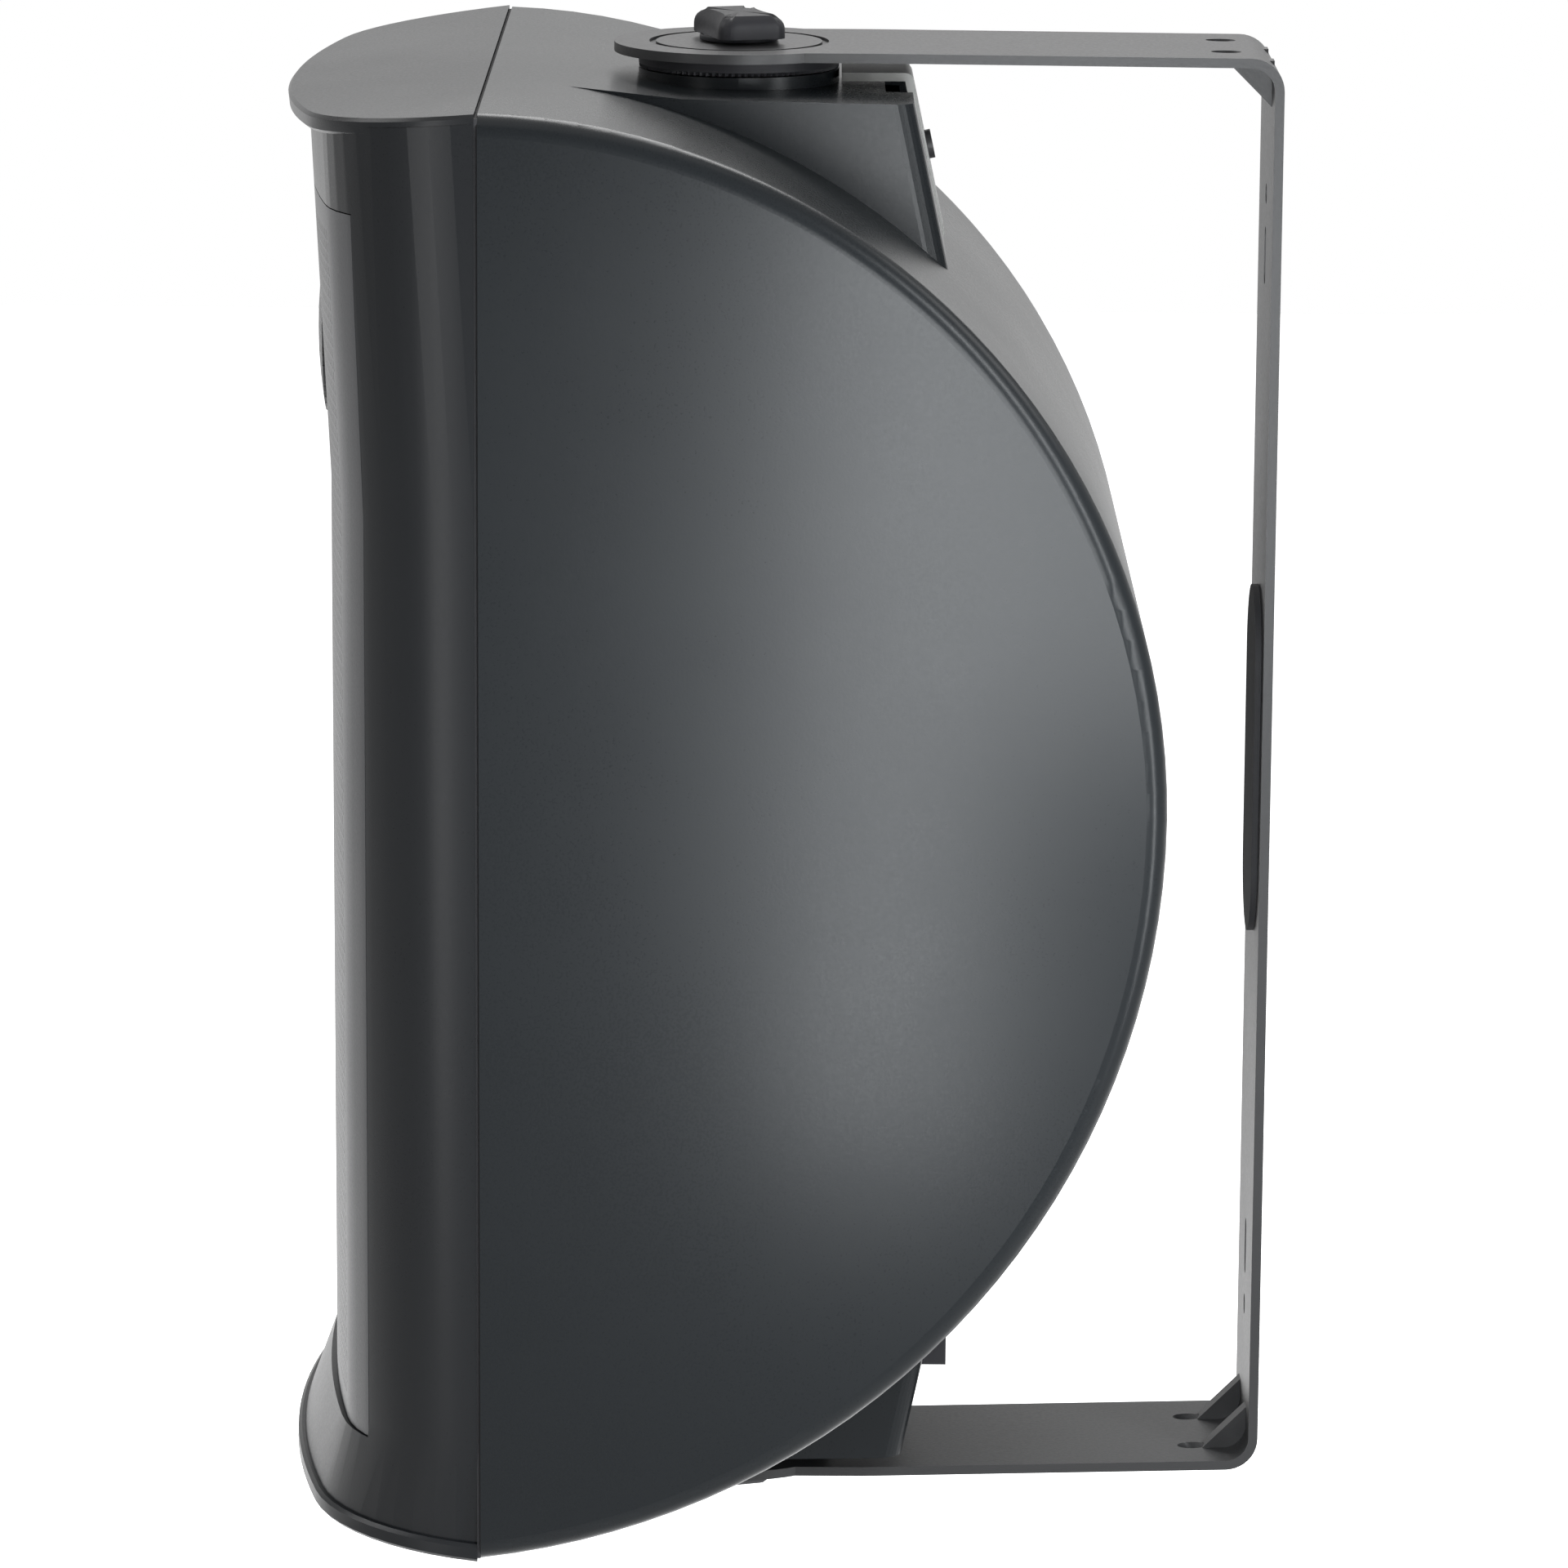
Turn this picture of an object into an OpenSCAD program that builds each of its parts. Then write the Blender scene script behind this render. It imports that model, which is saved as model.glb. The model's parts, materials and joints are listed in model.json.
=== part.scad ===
// Two-way outdoor loudspeaker, clamped in a steel C-shaped wall bracket.
// Millimetres. The wall plane is y = 0, the speaker looks along -Y and +Z is up.
// The origin is the middle of the wall plate's rear face.

/* [Rear shell] */
// Width of the cabinet
cab_w = 225; // [190:1:300]
// Height of the cabinet
cab_h = 342; // [320:1:420]
// Depth of the curved shell behind the seam
cab_depth = 159.5; // [145:0.5:200]
// Distance from the swivel axis forward to the seam
seam_ahead = 59.2; // [54:0.1:64]
// Height of the rearmost line above mid-height
belly_rise = 8; // [0:1:16]
// Wall thickness of the shell
shell_wall = 3.5; // [2.5:0.1:5]
// Radius along the two curved side edges
edge_r = 5; // [4:0.5:9]

/* [Pivot bosses] */
// Width of the boss that carries each pivot
pod_w = 90; // [70:1:110]
// Reach of the boss floor ahead of the swivel axis
pod_ahead = 47.5; // [36:0.5:52]
// Reach of the boss behind the swivel axis, at its end face
pod_behind = 41.5; // [36:0.5:48]
// How far the boss spreads rearward over its height
pod_spread = 9.3; // [4:0.1:14]
// Height of the boss, end face to foot
pod_height = 40; // [32:1:48]
// Distance from the cabinet's end down to the boss's end face
pod_drop = 4.7; // [3:0.1:8]
// Fall of the boss's end face toward the rear, in degrees
pod_tilt = 1.1; // [0:0.1:3]
// Corner radius of the boss
pod_corner = 5; // [2:0.5:8]
// Diameter of the clamping collar on the boss
collar_d = 48.2; // [40:0.2:60]
// Height of the upper collar
collar_h = 2.7; // [2:0.1:8]
// Extra height of the lower collar
low_collar_more = 1.2; // [0:0.1:3]

/* [Front baffle] */
// Reach of the lips ahead of the seam
lip_reach = 48.7; // [44:0.1:60]
// Radius of the lips' bowed front edge
lip_bow_r = 336; // [260:1:500]
// Radius of the lips' front corners
lip_corner_r = 50; // [42:1:60]
// Thickness of the lips
lip_t = 4.2; // [3:0.1:7]
// Fall of the top lip, seam to front
lip_fall = 5; // [2:0.1:8]
// Rise of the bottom lip, seam to front
low_lip_rise = 2.5; // [1:0.1:8]
// Height over which a lip blends into the face
flare_h = 22; // [16:1:30]
// How far the face leans out under the top lip
top_flare = 4.6; // [0:0.1:7]
// Height over which the face leans out
top_flare_h = 87; // [40:1:120]
// Reach of the front face ahead of the seam
face_reach = 38.5; // [34:0.5:42]
// Radius of the bowed front face
face_bow_r = 500; // [420:1:700]
// Radius of the face's side corners
face_corner_r = 40; // [34:1:44]
// Wall thickness of the baffle moulding
baffle_wall = 3; // [2:0.1:5]
// Thickness of the panel that carries the drivers
panel_t = 6; // [5:0.1:10]
// Reach of the driver panel's front ahead of the seam
panel_reach = 21.5; // [18:0.5:26]
// Thickness of the seam gasket
gasket_t = 0.8; // [0.6:0.1:2]

/* [Grille] */
// Width of the grille
grille_w = 188; // [176:1:196]
// Height of the grille
grille_h = 291; // [280:1:296]
// Thickness of the grille sheet
grille_t = 1.2; // [0.8:0.1:2]
// Thickness of the foam liner
liner_t = 0.8; // [0.5:0.1:1.4]
// Diameter of the raised dome over the tweeter
dome_d = 42; // [30:1:56]
// Height of that dome
dome_h = 1.9; // [1:0.1:4]
// Clearance around the grille
grille_gap = 0.3; // [0.1:0.1:1]

/* [Bracket] */
// Distance from the wall to the swivel axis
standoff = 129.5; // [126:0.5:180]
// Width of the bracket strip
arm_w = 51.2; // [40:0.2:58]
// Thickness of the bracket steel
steel_t = 2.3; // [1.8:0.1:4]
// Outer radius of the bends
bend_r = 8; // [6:0.5:14]
// Diameter of the round arm ends
disc_d = 60; // [58:1:76]
// Diameter of the pressed groove in the arm ends
groove_d = 41.6; // [32:0.2:48]
// Slope of the upper arm, degrees
top_arm_slope = 0.4; // [0:0.1:2]
// Slope of the lower arm, degrees
low_arm_slope = 1.4; // [0:0.1:3]
// Width of the wall slots and diameter of the wall holes
slot_w = 5; // [4:0.1:7]
// Length of the wall slots
slot_l = 14; // [10:0.5:20]
// Height of each slot's centre above or below mid-height
slot_z = 124; // [100:1:134]
// Height of each round hole above or below mid-height
hole_z = 139; // [137:1:150]
// Width of the rubber pad on the plate
pad_w = 34; // [20:1:46]
// Length of the rubber pad
pad_l = 86; // [50:1:120]
// Thickness of the rubber pad
pad_t = 1.5; // [0.8:0.1:4]
// Spacing of the pressed darts in each bend
dart_gap = 24; // [16:1:32]
// Leg of each dart
dart_leg = 11; // [8:0.5:16]

/* [Clamp] */
// Diameter of the clamp stud
stud_d = 8; // [6:0.5:10]
// Length of stud inside the insert
stud_grip = 13; // [9:0.5:15]
// Outer diameter of the brass insert
insert_d = 12; // [11:0.5:15]
// Length of the brass insert
insert_l = 17; // [15:0.5:24]
// Diameter of the knob's round base
knob_d = 26.5; // [24:0.5:34]
// Height of the knob's round base
knob_base_h = 1.4; // [1:0.1:4]
// Full height of the knob
knob_h = 6.8; // [6:0.1:14]
// Width of the knob's finger bar
knob_bar_w = 17; // [10:0.5:18]
// Angle of the finger bar
knob_turn = 18; // [0:1:90]
// Thickness of the toothed clamp washer
washer_t = 3.6; // [1.6:0.1:4]
// Teeth around the clamp washer
washer_teeth = 96; // [36:4:120]
// Depth of the washer's teeth
tooth_h = 0.8; // [0.4:0.1:1.4]
// Clearance between the clamp washer and the collar
run_gap = 0.3; // [0.2:0.05:0.6]
// Radial clearance of the stud in its insert
thread_gap = 0.05; // [0.02:0.01:0.1]
// Radial clearance of the stud in the arm
arm_gap = 0.25; // [0.1:0.05:0.6]

/* [Safety tab] */
// Width of the steel safety tab
tab_w = 20; // [12:0.5:26]
// Thickness of the tab
tab_t = 2; // [1.2:0.1:3]
// Length of the tab's leg down the rear of the boss
tab_leg = 36.5; // [28:0.5:38]
// How far the leg stands proud of the boss
tab_proud = 0.6; // [0.2:0.1:1.6]
// Gap between the tab and the boss's end face at the axis
tab_lift = 0.5; // [0.4:0.1:2]
// Distance of the tab's screw below the boss's end face
tab_screw_down = 15.5; // [12:0.5:24]
// Width of the wire notch under the tab
notch_w = 42; // [34:1:56]
// Depth of the wire notch, front to rear
notch_y = 6.5; // [5:0.5:9]
// Height of the wire notch
notch_z = 8.5; // [6:0.5:11]

/* [Woofer] */
// Height of the woofer's axis above mid-height
woofer_z = -46; // [-50:1:-42]
// Width of the surround and flange around the cone
flange_w = 21.5; // [20:0.5:23]
// Thickness of the woofer's flange
woofer_flange = 3; // [2.5:0.1:3.4]
// Outer diameter of the cone
cone_d = 122; // [112:1:126]
// Depth of the cone
cone_depth = 26; // [22:1:28]
// Paper thickness of the cone
cone_t = 1; // [0.8:0.1:1.4]
// Diameter of the voice coil former
coil_d = 26; // [24:0.5:28]
// Diameter of the ferrite ring
magnet_d = 90; // [80:1:100]
// Thickness of the ferrite ring
magnet_t = 16; // [12:1:22]
// Diameter of the dust cap
cap_d = 42; // [36:1:48]
// Depth of the basket behind the flange
basket_depth = 44; // [40:1:50]

/* [Tweeter] */
// Height of the tweeter's axis above mid-height
tweeter_z = 92; // [90:1:96]
// Diameter of the tweeter's faceplate
tweeter_d = 76; // [70:1:80]
// Diameter of the dome
tweeter_dome_d = 25.4; // [22:0.2:28]
// Diameter of the tweeter's magnet
tweeter_magnet_d = 56; // [50:1:62]
// Thickness of the tweeter's magnet
tweeter_magnet_t = 10; // [8:0.5:14]

/* [Terminals] */
// Width of the terminal housing
term_w = 48; // [44:1:60]
// Reach of the housing behind the swivel axis
term_behind = 52.5; // [51:0.5:60]
// Height of the housing's lowest edge above the cabinet's bottom
term_up = 22.7; // [20:0.1:28]
// Height of the housing's block
term_h = 39; // [34:1:48]
// Depth of the housing's block, front to rear
term_deep = 47; // [44:1:54]
// Depth of the pocket around the binding posts
pocket_d = 15; // [14:0.5:18]
// Spacing of the binding posts
post_gap = 19; // [19:0.5:24]
// Diameter of the binding post caps
post_d = 11; // [9:0.5:13]
// Length of the binding post caps
post_l = 13; // [10:0.5:15]

/* [Crossover] */
// Height of the crossover board
board_h = 84; // [76:1:92]
// Depth of the crossover board
board_d = 64; // [60:1:70]
// Thickness of the board
board_t = 1.6; // [1.2:0.1:2.4]
// Height of the board's standoffs
standoff_h = 6; // [4:0.5:9]
// Diameter of the crossover's inductors
choke_d = 30; // [24:1:32]

/* [Wadding] */
// Thickness of the wadding
wadding_t = 48; // [30:1:60]
// Distance of the wadding behind the seam
wadding_behind = 42; // [30:1:50]
// Height of the wadding's lower edge above mid-height
wadding_low = 40; // [20:1:60]
// Distance of the wadding's upper edge below the cabinet's top
wadding_top = 48; // [44:1:70]

/* [Fasteners] */
// Diameter of the baffle screws
case_screw_d = 4; // [3:0.5:5]
// Length of the baffle screws
case_screw_l = 34; // [30:1:40]
// Distance of the baffle screws inside the mean of the cabinet's and the grille's edges
screw_inset = 15.75; // [12:0.25:20]
// Diameter of the driver screws
driver_screw_d = 4; // [3:0.5:4.5]

/* [Hidden] */
$fn = 64;
eps = 0.02;
woofer_d = cone_d + 2 * flange_w;
hw = cab_w / 2;
hh = cab_h / 2;
axis_y = -standoff;
seam_y = axis_y - seam_ahead;
shell_y = seam_y + gasket_t;
back_y = seam_y + cab_depth;
// Radii and centres of the two arcs that form the shell's side profile
up_h = hh - belly_rise;
low_h = hh + belly_rise;
up_r = (up_h * up_h + cab_depth * cab_depth) / (2 * cab_depth);
low_r = (low_h * low_h + cab_depth * cab_depth) / (2 * cab_depth);
// Stack of heights at each pivot, measured outward from mid-height
pod_z = hh - pod_drop;
pod_back_y = axis_y + pod_behind;
ramp_y = axis_y - pod_ahead - 3;
pod_lean = atan(pod_spread / pod_height);
tab_in = tab_proud - tab_t;
tab_lean = pod_lean - pod_tilt;
tab_bend_up = (tab_lift + pod_behind * sin(pod_tilt) - tab_in * sin(tab_lean)) / cos(tab_lean);
tab_bend_y = axis_y + pod_behind * cos(pod_tilt) + tab_in * cos(tab_lean) - tab_bend_up * sin(tab_lean);
collar_z = pod_z + collar_h;
washer_z = collar_z + run_gap;
arm_in = washer_z + washer_t;
arm_out = arm_in + steel_t;
low_collar_z = collar_z + low_collar_more;
low_washer_z = low_collar_z + run_gap;
low_arm_in = low_washer_z + washer_t;
low_arm_out = low_arm_in + steel_t;
insert_r = insert_d / 2;
stud_r = stud_d / 2;
arm_hole_r = stud_r + arm_gap;
// Levels inside the front baffle
panel_y = seam_y - panel_reach;
panel_back = panel_y + panel_t;
face_y = seam_y - face_reach;
lean_from = hh - lip_t - lip_fall - top_flare_h;
lip_y = seam_y - lip_reach;
spider_z = basket_depth - 8;
coil_r = coil_d / 2;
former_t = 0.35;
winding_t = 0.7;
pole_r = coil_r - former_t - 0.4;
gap_r = coil_r + winding_t + 0.5;
plate_t = 6;
mag_z = basket_depth + 2 + plate_t;
neck_z = 4 + cone_depth;
screw_ring = woofer_d / 2 - 5;
term_y = axis_y + term_behind;
term_low = hh - term_up;
post_y = term_y - pocket_d;
post_z = -term_low + term_h / 2;
board_x = -hw + shell_wall + standoff_h + board_t;
board_y = seam_y + 24;
board_z = -118;
case_x = (hw + grille_w / 2) / 2 - screw_inset;
case_zs = [-grille_h / 2 + 12.5, 16, grille_h / 2 - 10.5];

// How far the face leans out at a height
function lean_out(z) = top_flare * max(0, z - lean_from) / top_flare_h;

// Height of the shell's upper and lower edge at a place along the depth
function up_edge(y) = belly_rise + sqrt(pow(up_r, 2) - pow(y - back_y + up_r, 2));
function low_edge(y) = -belly_rise + sqrt(pow(low_r, 2) - pow(y - back_y + low_r, 2));

// Outline of a bowed front, from the seam at one side round to the other
function corner_x(r, c) = hw - c;
function corner_y(f, r, c) = -f + r - sqrt(pow(r - c, 2) - pow(hw - c, 2));
function join_a(r, c) = asin((hw - c) / (r - c));
function bow(f, r, c, d = 0, n = 10) =
    let (cx = hw - c, cy = corner_y(f, r, c), a1 = join_a(r, c), a0 = asin(max(-1, min(1, cy / (c - d)))))
    concat(
        [[-(cx + sqrt(pow(c - d, 2) - pow(cy, 2))), 0]],
        [for (i = [1:n]) let (t = a0 + (90 - a1 - a0) * i / n) [-(cx + (c - d) * cos(t)), cy - (c - d)
            * sin(t)]],
        [for (i = [1:2 * n - 1]) let (t = -a1 + 2 * a1 * i / (2 * n)) [(r - d) * sin(t), r - f - (r - d)
            * cos(t)]],
        [for (i = [n:-1:1]) let (t = a0 + (90 - a1 - a0) * i / n) [cx + (c - d) * cos(t), cy - (c - d)
            * sin(t)]],
        [[cx + sqrt(pow(c - d, 2) - pow(cy, 2)), 0]]);

module lip_plan(d = 0) polygon(bow(lip_reach, lip_bow_r, lip_corner_r, d));
module face_plan(d = 0) polygon(bow(face_reach, face_bow_r, face_corner_r, d));

// The bowed face drawn in by d, between two heights; it leans out toward the top
module face_form(d, low, high) {
    translate([0, seam_y, low]) linear_extrude(lean_from - low) face_plan(d);
    translate([0, seam_y, 0]) hull() {
        translate([0, 0, lean_from - eps]) linear_extrude(eps) face_plan(d);
        translate([0, 0, high - eps]) linear_extrude(eps) scale([1, 1 + lean_out(high) / face_reach])
            face_plan(d);
    }
}

// Wheel with rounded rims, turned about the X direction
module wheel(r, w, e) {
    rotate([0, 90, 0]) rotate_extrude($fn = 160) {
        translate([0, -w / 2 + e]) square([r, w - 2 * e]);
        translate([0, -w / 2]) square([r - e, w]);
        for (s = [-1, 1]) translate([r - e, s * (w / 2 - e)]) circle(e, $fn = 32);
    }
}

// The shell's side profile as a solid, drawn in by d on every side
module shell_form(d, front) {
    w = cab_w - 2 * d;
    e = max(edge_r - d, 1);
    intersection() {
        translate([0, back_y - up_r, belly_rise]) wheel(up_r - d, w, e);
        translate([-hw, front, belly_rise]) cube([cab_w, cab_depth + 40, cab_h]);
    }
    intersection() {
        translate([0, back_y - low_r, belly_rise]) wheel(low_r - d, w, e);
        translate([-hw, front, belly_rise - cab_h]) cube([cab_w, cab_depth + 40, cab_h]);
    }
}

// One pivot boss, rounded at its rear corners, leaning back toward its foot
module pod_form(d, ramp_z) {
    h = pod_height + 22;
    r = max(pod_corner - d, 1);
    w = pod_w / 2 - d;
    k = pod_spread / pod_height;
    at_pod() hull() {
        translate([-w, -pod_ahead + d, -d - h]) cube([2 * w, 20, h]);
        for (s = [-1, 1], j = [0, 1])
            translate([s * (w - r), pod_behind - d + k * (d + j * h) - r, -d - j * h])
                translate([0, 0, j == 0 ? -eps : 0]) cylinder(r = r, h = eps, $fn = 32);
    }
    // ramp from the shell's end down to the end face
    translate([-w + 0.3, 0, 0]) rotate([90, 0, 90]) linear_extrude(2 * w - 0.6) polygon([
        [ramp_y + d, ramp_z - d], [axis_y - 2, pod_z - 1 - d], [axis_y - 2, pod_z - 30],
            [ramp_y + d, pod_z - 30]]);
}

// Puts the origin where the swivel axis meets the boss's end face
module at_pod() translate([0, axis_y, pod_z]) rotate([-pod_tilt, 0, 0]) children();

module pods(d) {
    pod_form(d, up_edge(ramp_y));
    mirror([0, 0, 1]) pod_form(d, low_edge(ramp_y) - 0.6);
}

module case_bosses() {
    for (s = [-1, 1], z = case_zs) {
        translate([s * case_x, shell_y, z]) rotate([-90, 0, 0])
            cylinder(d = case_screw_d + 6, h = 24, $fn = 32);
        translate([s > 0 ? case_x : -hw + 1, shell_y, z - 1.5]) cube([hw - 1 - case_x, 20, 3]);
    }
}

// Room for the terminal housing
module term_block()
    translate([-term_w / 2, term_y - term_deep - 1, -term_low]) cube([term_w, term_deep + 13, term_h]);

module rear_cabinet() {
    color("#2b2e31") difference() {
        union() {
            difference() {
                union() {
                    shell_form(0, shell_y);
                    pods(0);
                }
                shell_form(shell_wall, shell_y - 1);
                pods(shell_wall);
            }
            translate([0, axis_y, pod_z - insert_l - 4])
                cylinder(d = insert_d + 7, h = insert_l + 4 + collar_h - eps);
            translate([0, axis_y, pod_z - 1]) cylinder(d = collar_d, h = collar_h + 1);
            mirror([0, 0, 1]) {
                translate([0, axis_y, pod_z - insert_l - 4])
                    cylinder(d = insert_d + 7, h = insert_l + 4 + collar_h - eps);
                translate([0, axis_y, pod_z - 1]) cylinder(d = collar_d, h = collar_h + low_collar_more + 1);
            }
            case_bosses();
            for (y = [6, board_d - 6], z = [6, board_h - 6])
                translate([-hw + shell_wall - 1, board_y + y, board_z + z]) rotate([0, 90, 0])
                    cylinder(d = 7, h = standoff_h + 1, $fn = 32);
        }
        translate([0, axis_y, pod_z + collar_h - insert_l]) cylinder(r = insert_r, h = insert_l + 5);
        mirror([0, 0, 1])
            translate([0, axis_y, pod_z + collar_h + low_collar_more - insert_l])
                cylinder(r = insert_r, h = insert_l + 5);
        for (s = [-1, 1], z = case_zs)
            translate([s * case_x, shell_y - 1, z]) rotate([-90, 0, 0]) cylinder(d = case_screw_d, h = 21);
        for (y = [6, board_d - 6], z = [6, board_h - 6])
            translate([-hw + shell_wall + standoff_h - 5, board_y + y, board_z + z]) rotate([0, 90, 0])
                cylinder(d = 2.5, h = 6);
        translate([-notch_w / 2, pod_back_y - notch_y, pod_z - notch_z])
            cube([notch_w, notch_y + 5, notch_z + 5]);
        at_pod_rear() translate([-tab_w / 2 - 0.2, tab_in - 0.05, -tab_leg - 0.2])
            cube([tab_w + 0.4, 12, tab_leg + 8]);
        at_pod_rear() translate([0, -9, -tab_screw_down]) rotate([-90, 0, 0]) cylinder(d = 3, h = 20);
        term_block();
    }
}

module gasket_ring() {
    color("#17181a") difference() {
        translate([-hw + 1, seam_y, -hh + 1]) cube([cab_w - 2, gasket_t, cab_h - 2]);
        translate([-hw + shell_wall, seam_y - 1, -hh + shell_wall])
            cube([cab_w - 2 * shell_wall, gasket_t + 2, cab_h - 2 * shell_wall]);
    }
}

// A lip: a sloping slab with softened edges
module lip_slab(fall) {
    a = atan(fall / lip_reach);
    translate([0, seam_y, hh]) rotate([a, 0, 0]) hull() {
        translate([0, 0, -lip_t + 0.8]) linear_extrude(lip_t - 1.6) lip_plan();
        translate([0, 0, -lip_t]) linear_extrude(lip_t) lip_plan(0.8);
    }
}

// Blend from the underside of a lip down to the bowed face
module lip_flare(fall) {
    a = atan(fall / lip_reach);
    hull() {
        translate([0, seam_y, hh]) rotate([a, 0, 0])
            translate([0, 0, -lip_t]) linear_extrude(0.4) lip_plan(1.6);
        translate([0, seam_y, hh - lip_t - fall - flare_h - 0.5]) linear_extrude(0.5) face_plan();
    }
}

module front_baffle() {
    inner_h = hh - lip_t - max(lip_fall, low_lip_rise) - 1;
    color("#2f3032") difference() {
        union() {
            difference() {
                union() {
                    intersection() {
                        face_form(0, -(hh - lip_t - low_lip_rise - flare_h), hh);
                        translate([0, seam_y, hh]) rotate([atan(lip_fall / lip_reach), 0, 0])
                            translate([-hw - 10, -cab_depth, -2 * cab_h])
                                cube([cab_w + 20, 2 * cab_depth, 2 * cab_h - lip_t / 2]);
                    }
                    lip_slab(lip_fall);
                    mirror([0, 0, 1]) {
                        lip_slab(low_lip_rise);
                        lip_flare(low_lip_rise);
                    }
                }
                // hollow behind the driver panel
                intersection() {
                    translate([0, seam_y, -inner_h]) linear_extrude(2 * inner_h) face_plan(baffle_wall);
                    translate([-hw, panel_back, -hh]) cube([cab_w, panel_reach, cab_h]);
                }
                translate([-hw + 6, seam_y - 3, -inner_h]) cube([cab_w - 12, 5, 2 * inner_h]);
                // room behind the rear plane
                translate([-hw - 5, seam_y, -hh - 5]) cube([cab_w + 10, 20, cab_h + 10]);
            }
            for (s = [-1, 1], z = case_zs)
                translate([s * case_x, panel_back - 1, z]) rotate([-90, 0, 0])
                    cylinder(d = case_screw_d + 6, h = shell_y - panel_back + 1, $fn = 32);
        }
        // seat of the grille
        translate([-grille_w / 2 - grille_gap, panel_y - 40, -grille_h / 2 - grille_gap])
            cube([grille_w + 2 * grille_gap, 40, grille_h + 2 * grille_gap]);
        // driver openings with their rebates
        translate([0, panel_y - 1, woofer_z]) rotate([-90, 0, 0]) {
            cylinder(d = woofer_d + 0.6, h = woofer_flange + 1);
            cylinder(d = woofer_d - 18, h = 30);
            for (i = [0:5]) rotate([0, 0, i * 60 + 30]) translate([screw_ring, 0, 0])
                cylinder(d = driver_screw_d, h = 20);
        }
        translate([0, panel_y - 1, tweeter_z]) rotate([-90, 0, 0]) {
            cylinder(d = tweeter_d + 0.6, h = 4);
            cylinder(d = tweeter_d - 14, h = 30);
            for (i = [0:3]) rotate([0, 0, i * 90 + 45]) translate([tweeter_d / 2 - 3.5, 0, 0])
                cylinder(d = driver_screw_d - 1, h = 20);
        }
        for (s = [-1, 1], z = case_zs)
            translate([s * case_x, panel_y - 1, z]) rotate([-90, 0, 0])
                cylinder(d = case_screw_d + 0.4, h = 40);
    }
}

// Curved pan of the grille: its outer form, drawn in by d at the face and at the sides
module pan_form(d, e) {
    intersection() {
        face_form(d, -grille_h / 2 + e, grille_h / 2 - e);
        translate([-grille_w / 2 + e, face_y - 9, -hh]) cube([grille_w - 2 * e, panel_y - face_y + 9, cab_h]);
    }
}

module grille_dome(d) {
    rs = (dome_d * dome_d / 4 + dome_h * dome_h) / (2 * dome_h);
    z = tweeter_z + 14;
    intersection() {
        translate([0, face_y - lean_out(z) - dome_h + rs, z]) sphere(r = rs - d, $fn = 96);
        translate([0, face_y - 10, z]) rotate([-90, 0, 0]) cylinder(d = dome_d, h = 12);
    }
}

module grille() {
    color("#1c1d1f") difference() {
        union() {
            pan_form(0, 0);
            grille_dome(0);
        }
        pan_form(grille_t, grille_t);
        grille_dome(grille_t);
        translate([-grille_w / 2 + grille_t, panel_y - 1, -grille_h / 2 + grille_t])
            cube([grille_w - 2 * grille_t, 5, grille_h - 2 * grille_t]);
    }
}

module grille_liner() {
    color("#101113") difference() {
        intersection() {
            face_form(grille_t, -grille_h / 2 + grille_t + 0.2, grille_h / 2 - grille_t - 0.2);
            translate([-grille_w / 2 + grille_t + 0.2, face_y - 9, -hh])
                cube([grille_w - 2 * grille_t - 0.4, panel_y - face_y + 8, cab_h]);
        }
        face_form(grille_t + liner_t, -hh, hh);
    }
}

// Outer or inner points along one half of the bracket, from the wall out to the pivot
function half_path(zo, s, r) =
    let (yk = axis_y + disc_d / 2 + 2, zc = zo - bend_r * cos(s) - (-bend_r + bend_r * sin(s) - yk) * tan(s))
    concat(
        [for (i = [0:10]) let (t = (90 - s) * i / 10) [-bend_r + r * cos(t), zc + r * sin(t)]],
        [[yk, zo - (bend_r - r)], [axis_y, zo - (bend_r - r)]]);
function flip(p) = [for (q = p) [q[0], -q[1]]];
function reversed(p) = [for (i = [len(p) - 1:-1:0]) p[i]];
function bend_z(zo, s) = half_path(zo, s, bend_r)[0][1];

module dart(zo, s, low) {
    zc = bend_z(zo, s);
    for (x = [-dart_gap / 2, dart_gap / 2]) {
        translate([x, 0, 0]) rotate([90, 0, 90]) translate([0, 0, -2.5]) linear_extrude(5)
            polygon([
                [-steel_t + 0.5, zc + bend_r - steel_t + 0.5],
                [-steel_t + 0.5, zc + bend_r - steel_t - dart_leg],
                [-steel_t - dart_leg, zc + bend_r - steel_t + 0.5]]);
    }
}

module dart_dents(zo, s) {
    zc = bend_z(zo, s);
    for (x = [-dart_gap / 2, dart_gap / 2])
        translate([x, -bend_r, zc]) rotate([45, 0, 0]) translate([0, -bend_r * 1.6, bend_r + 1.4])
            rotate([-90, 0, 0]) cylinder(r = 2.6, h = bend_r * 3.2, $fn = 32);
}

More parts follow.
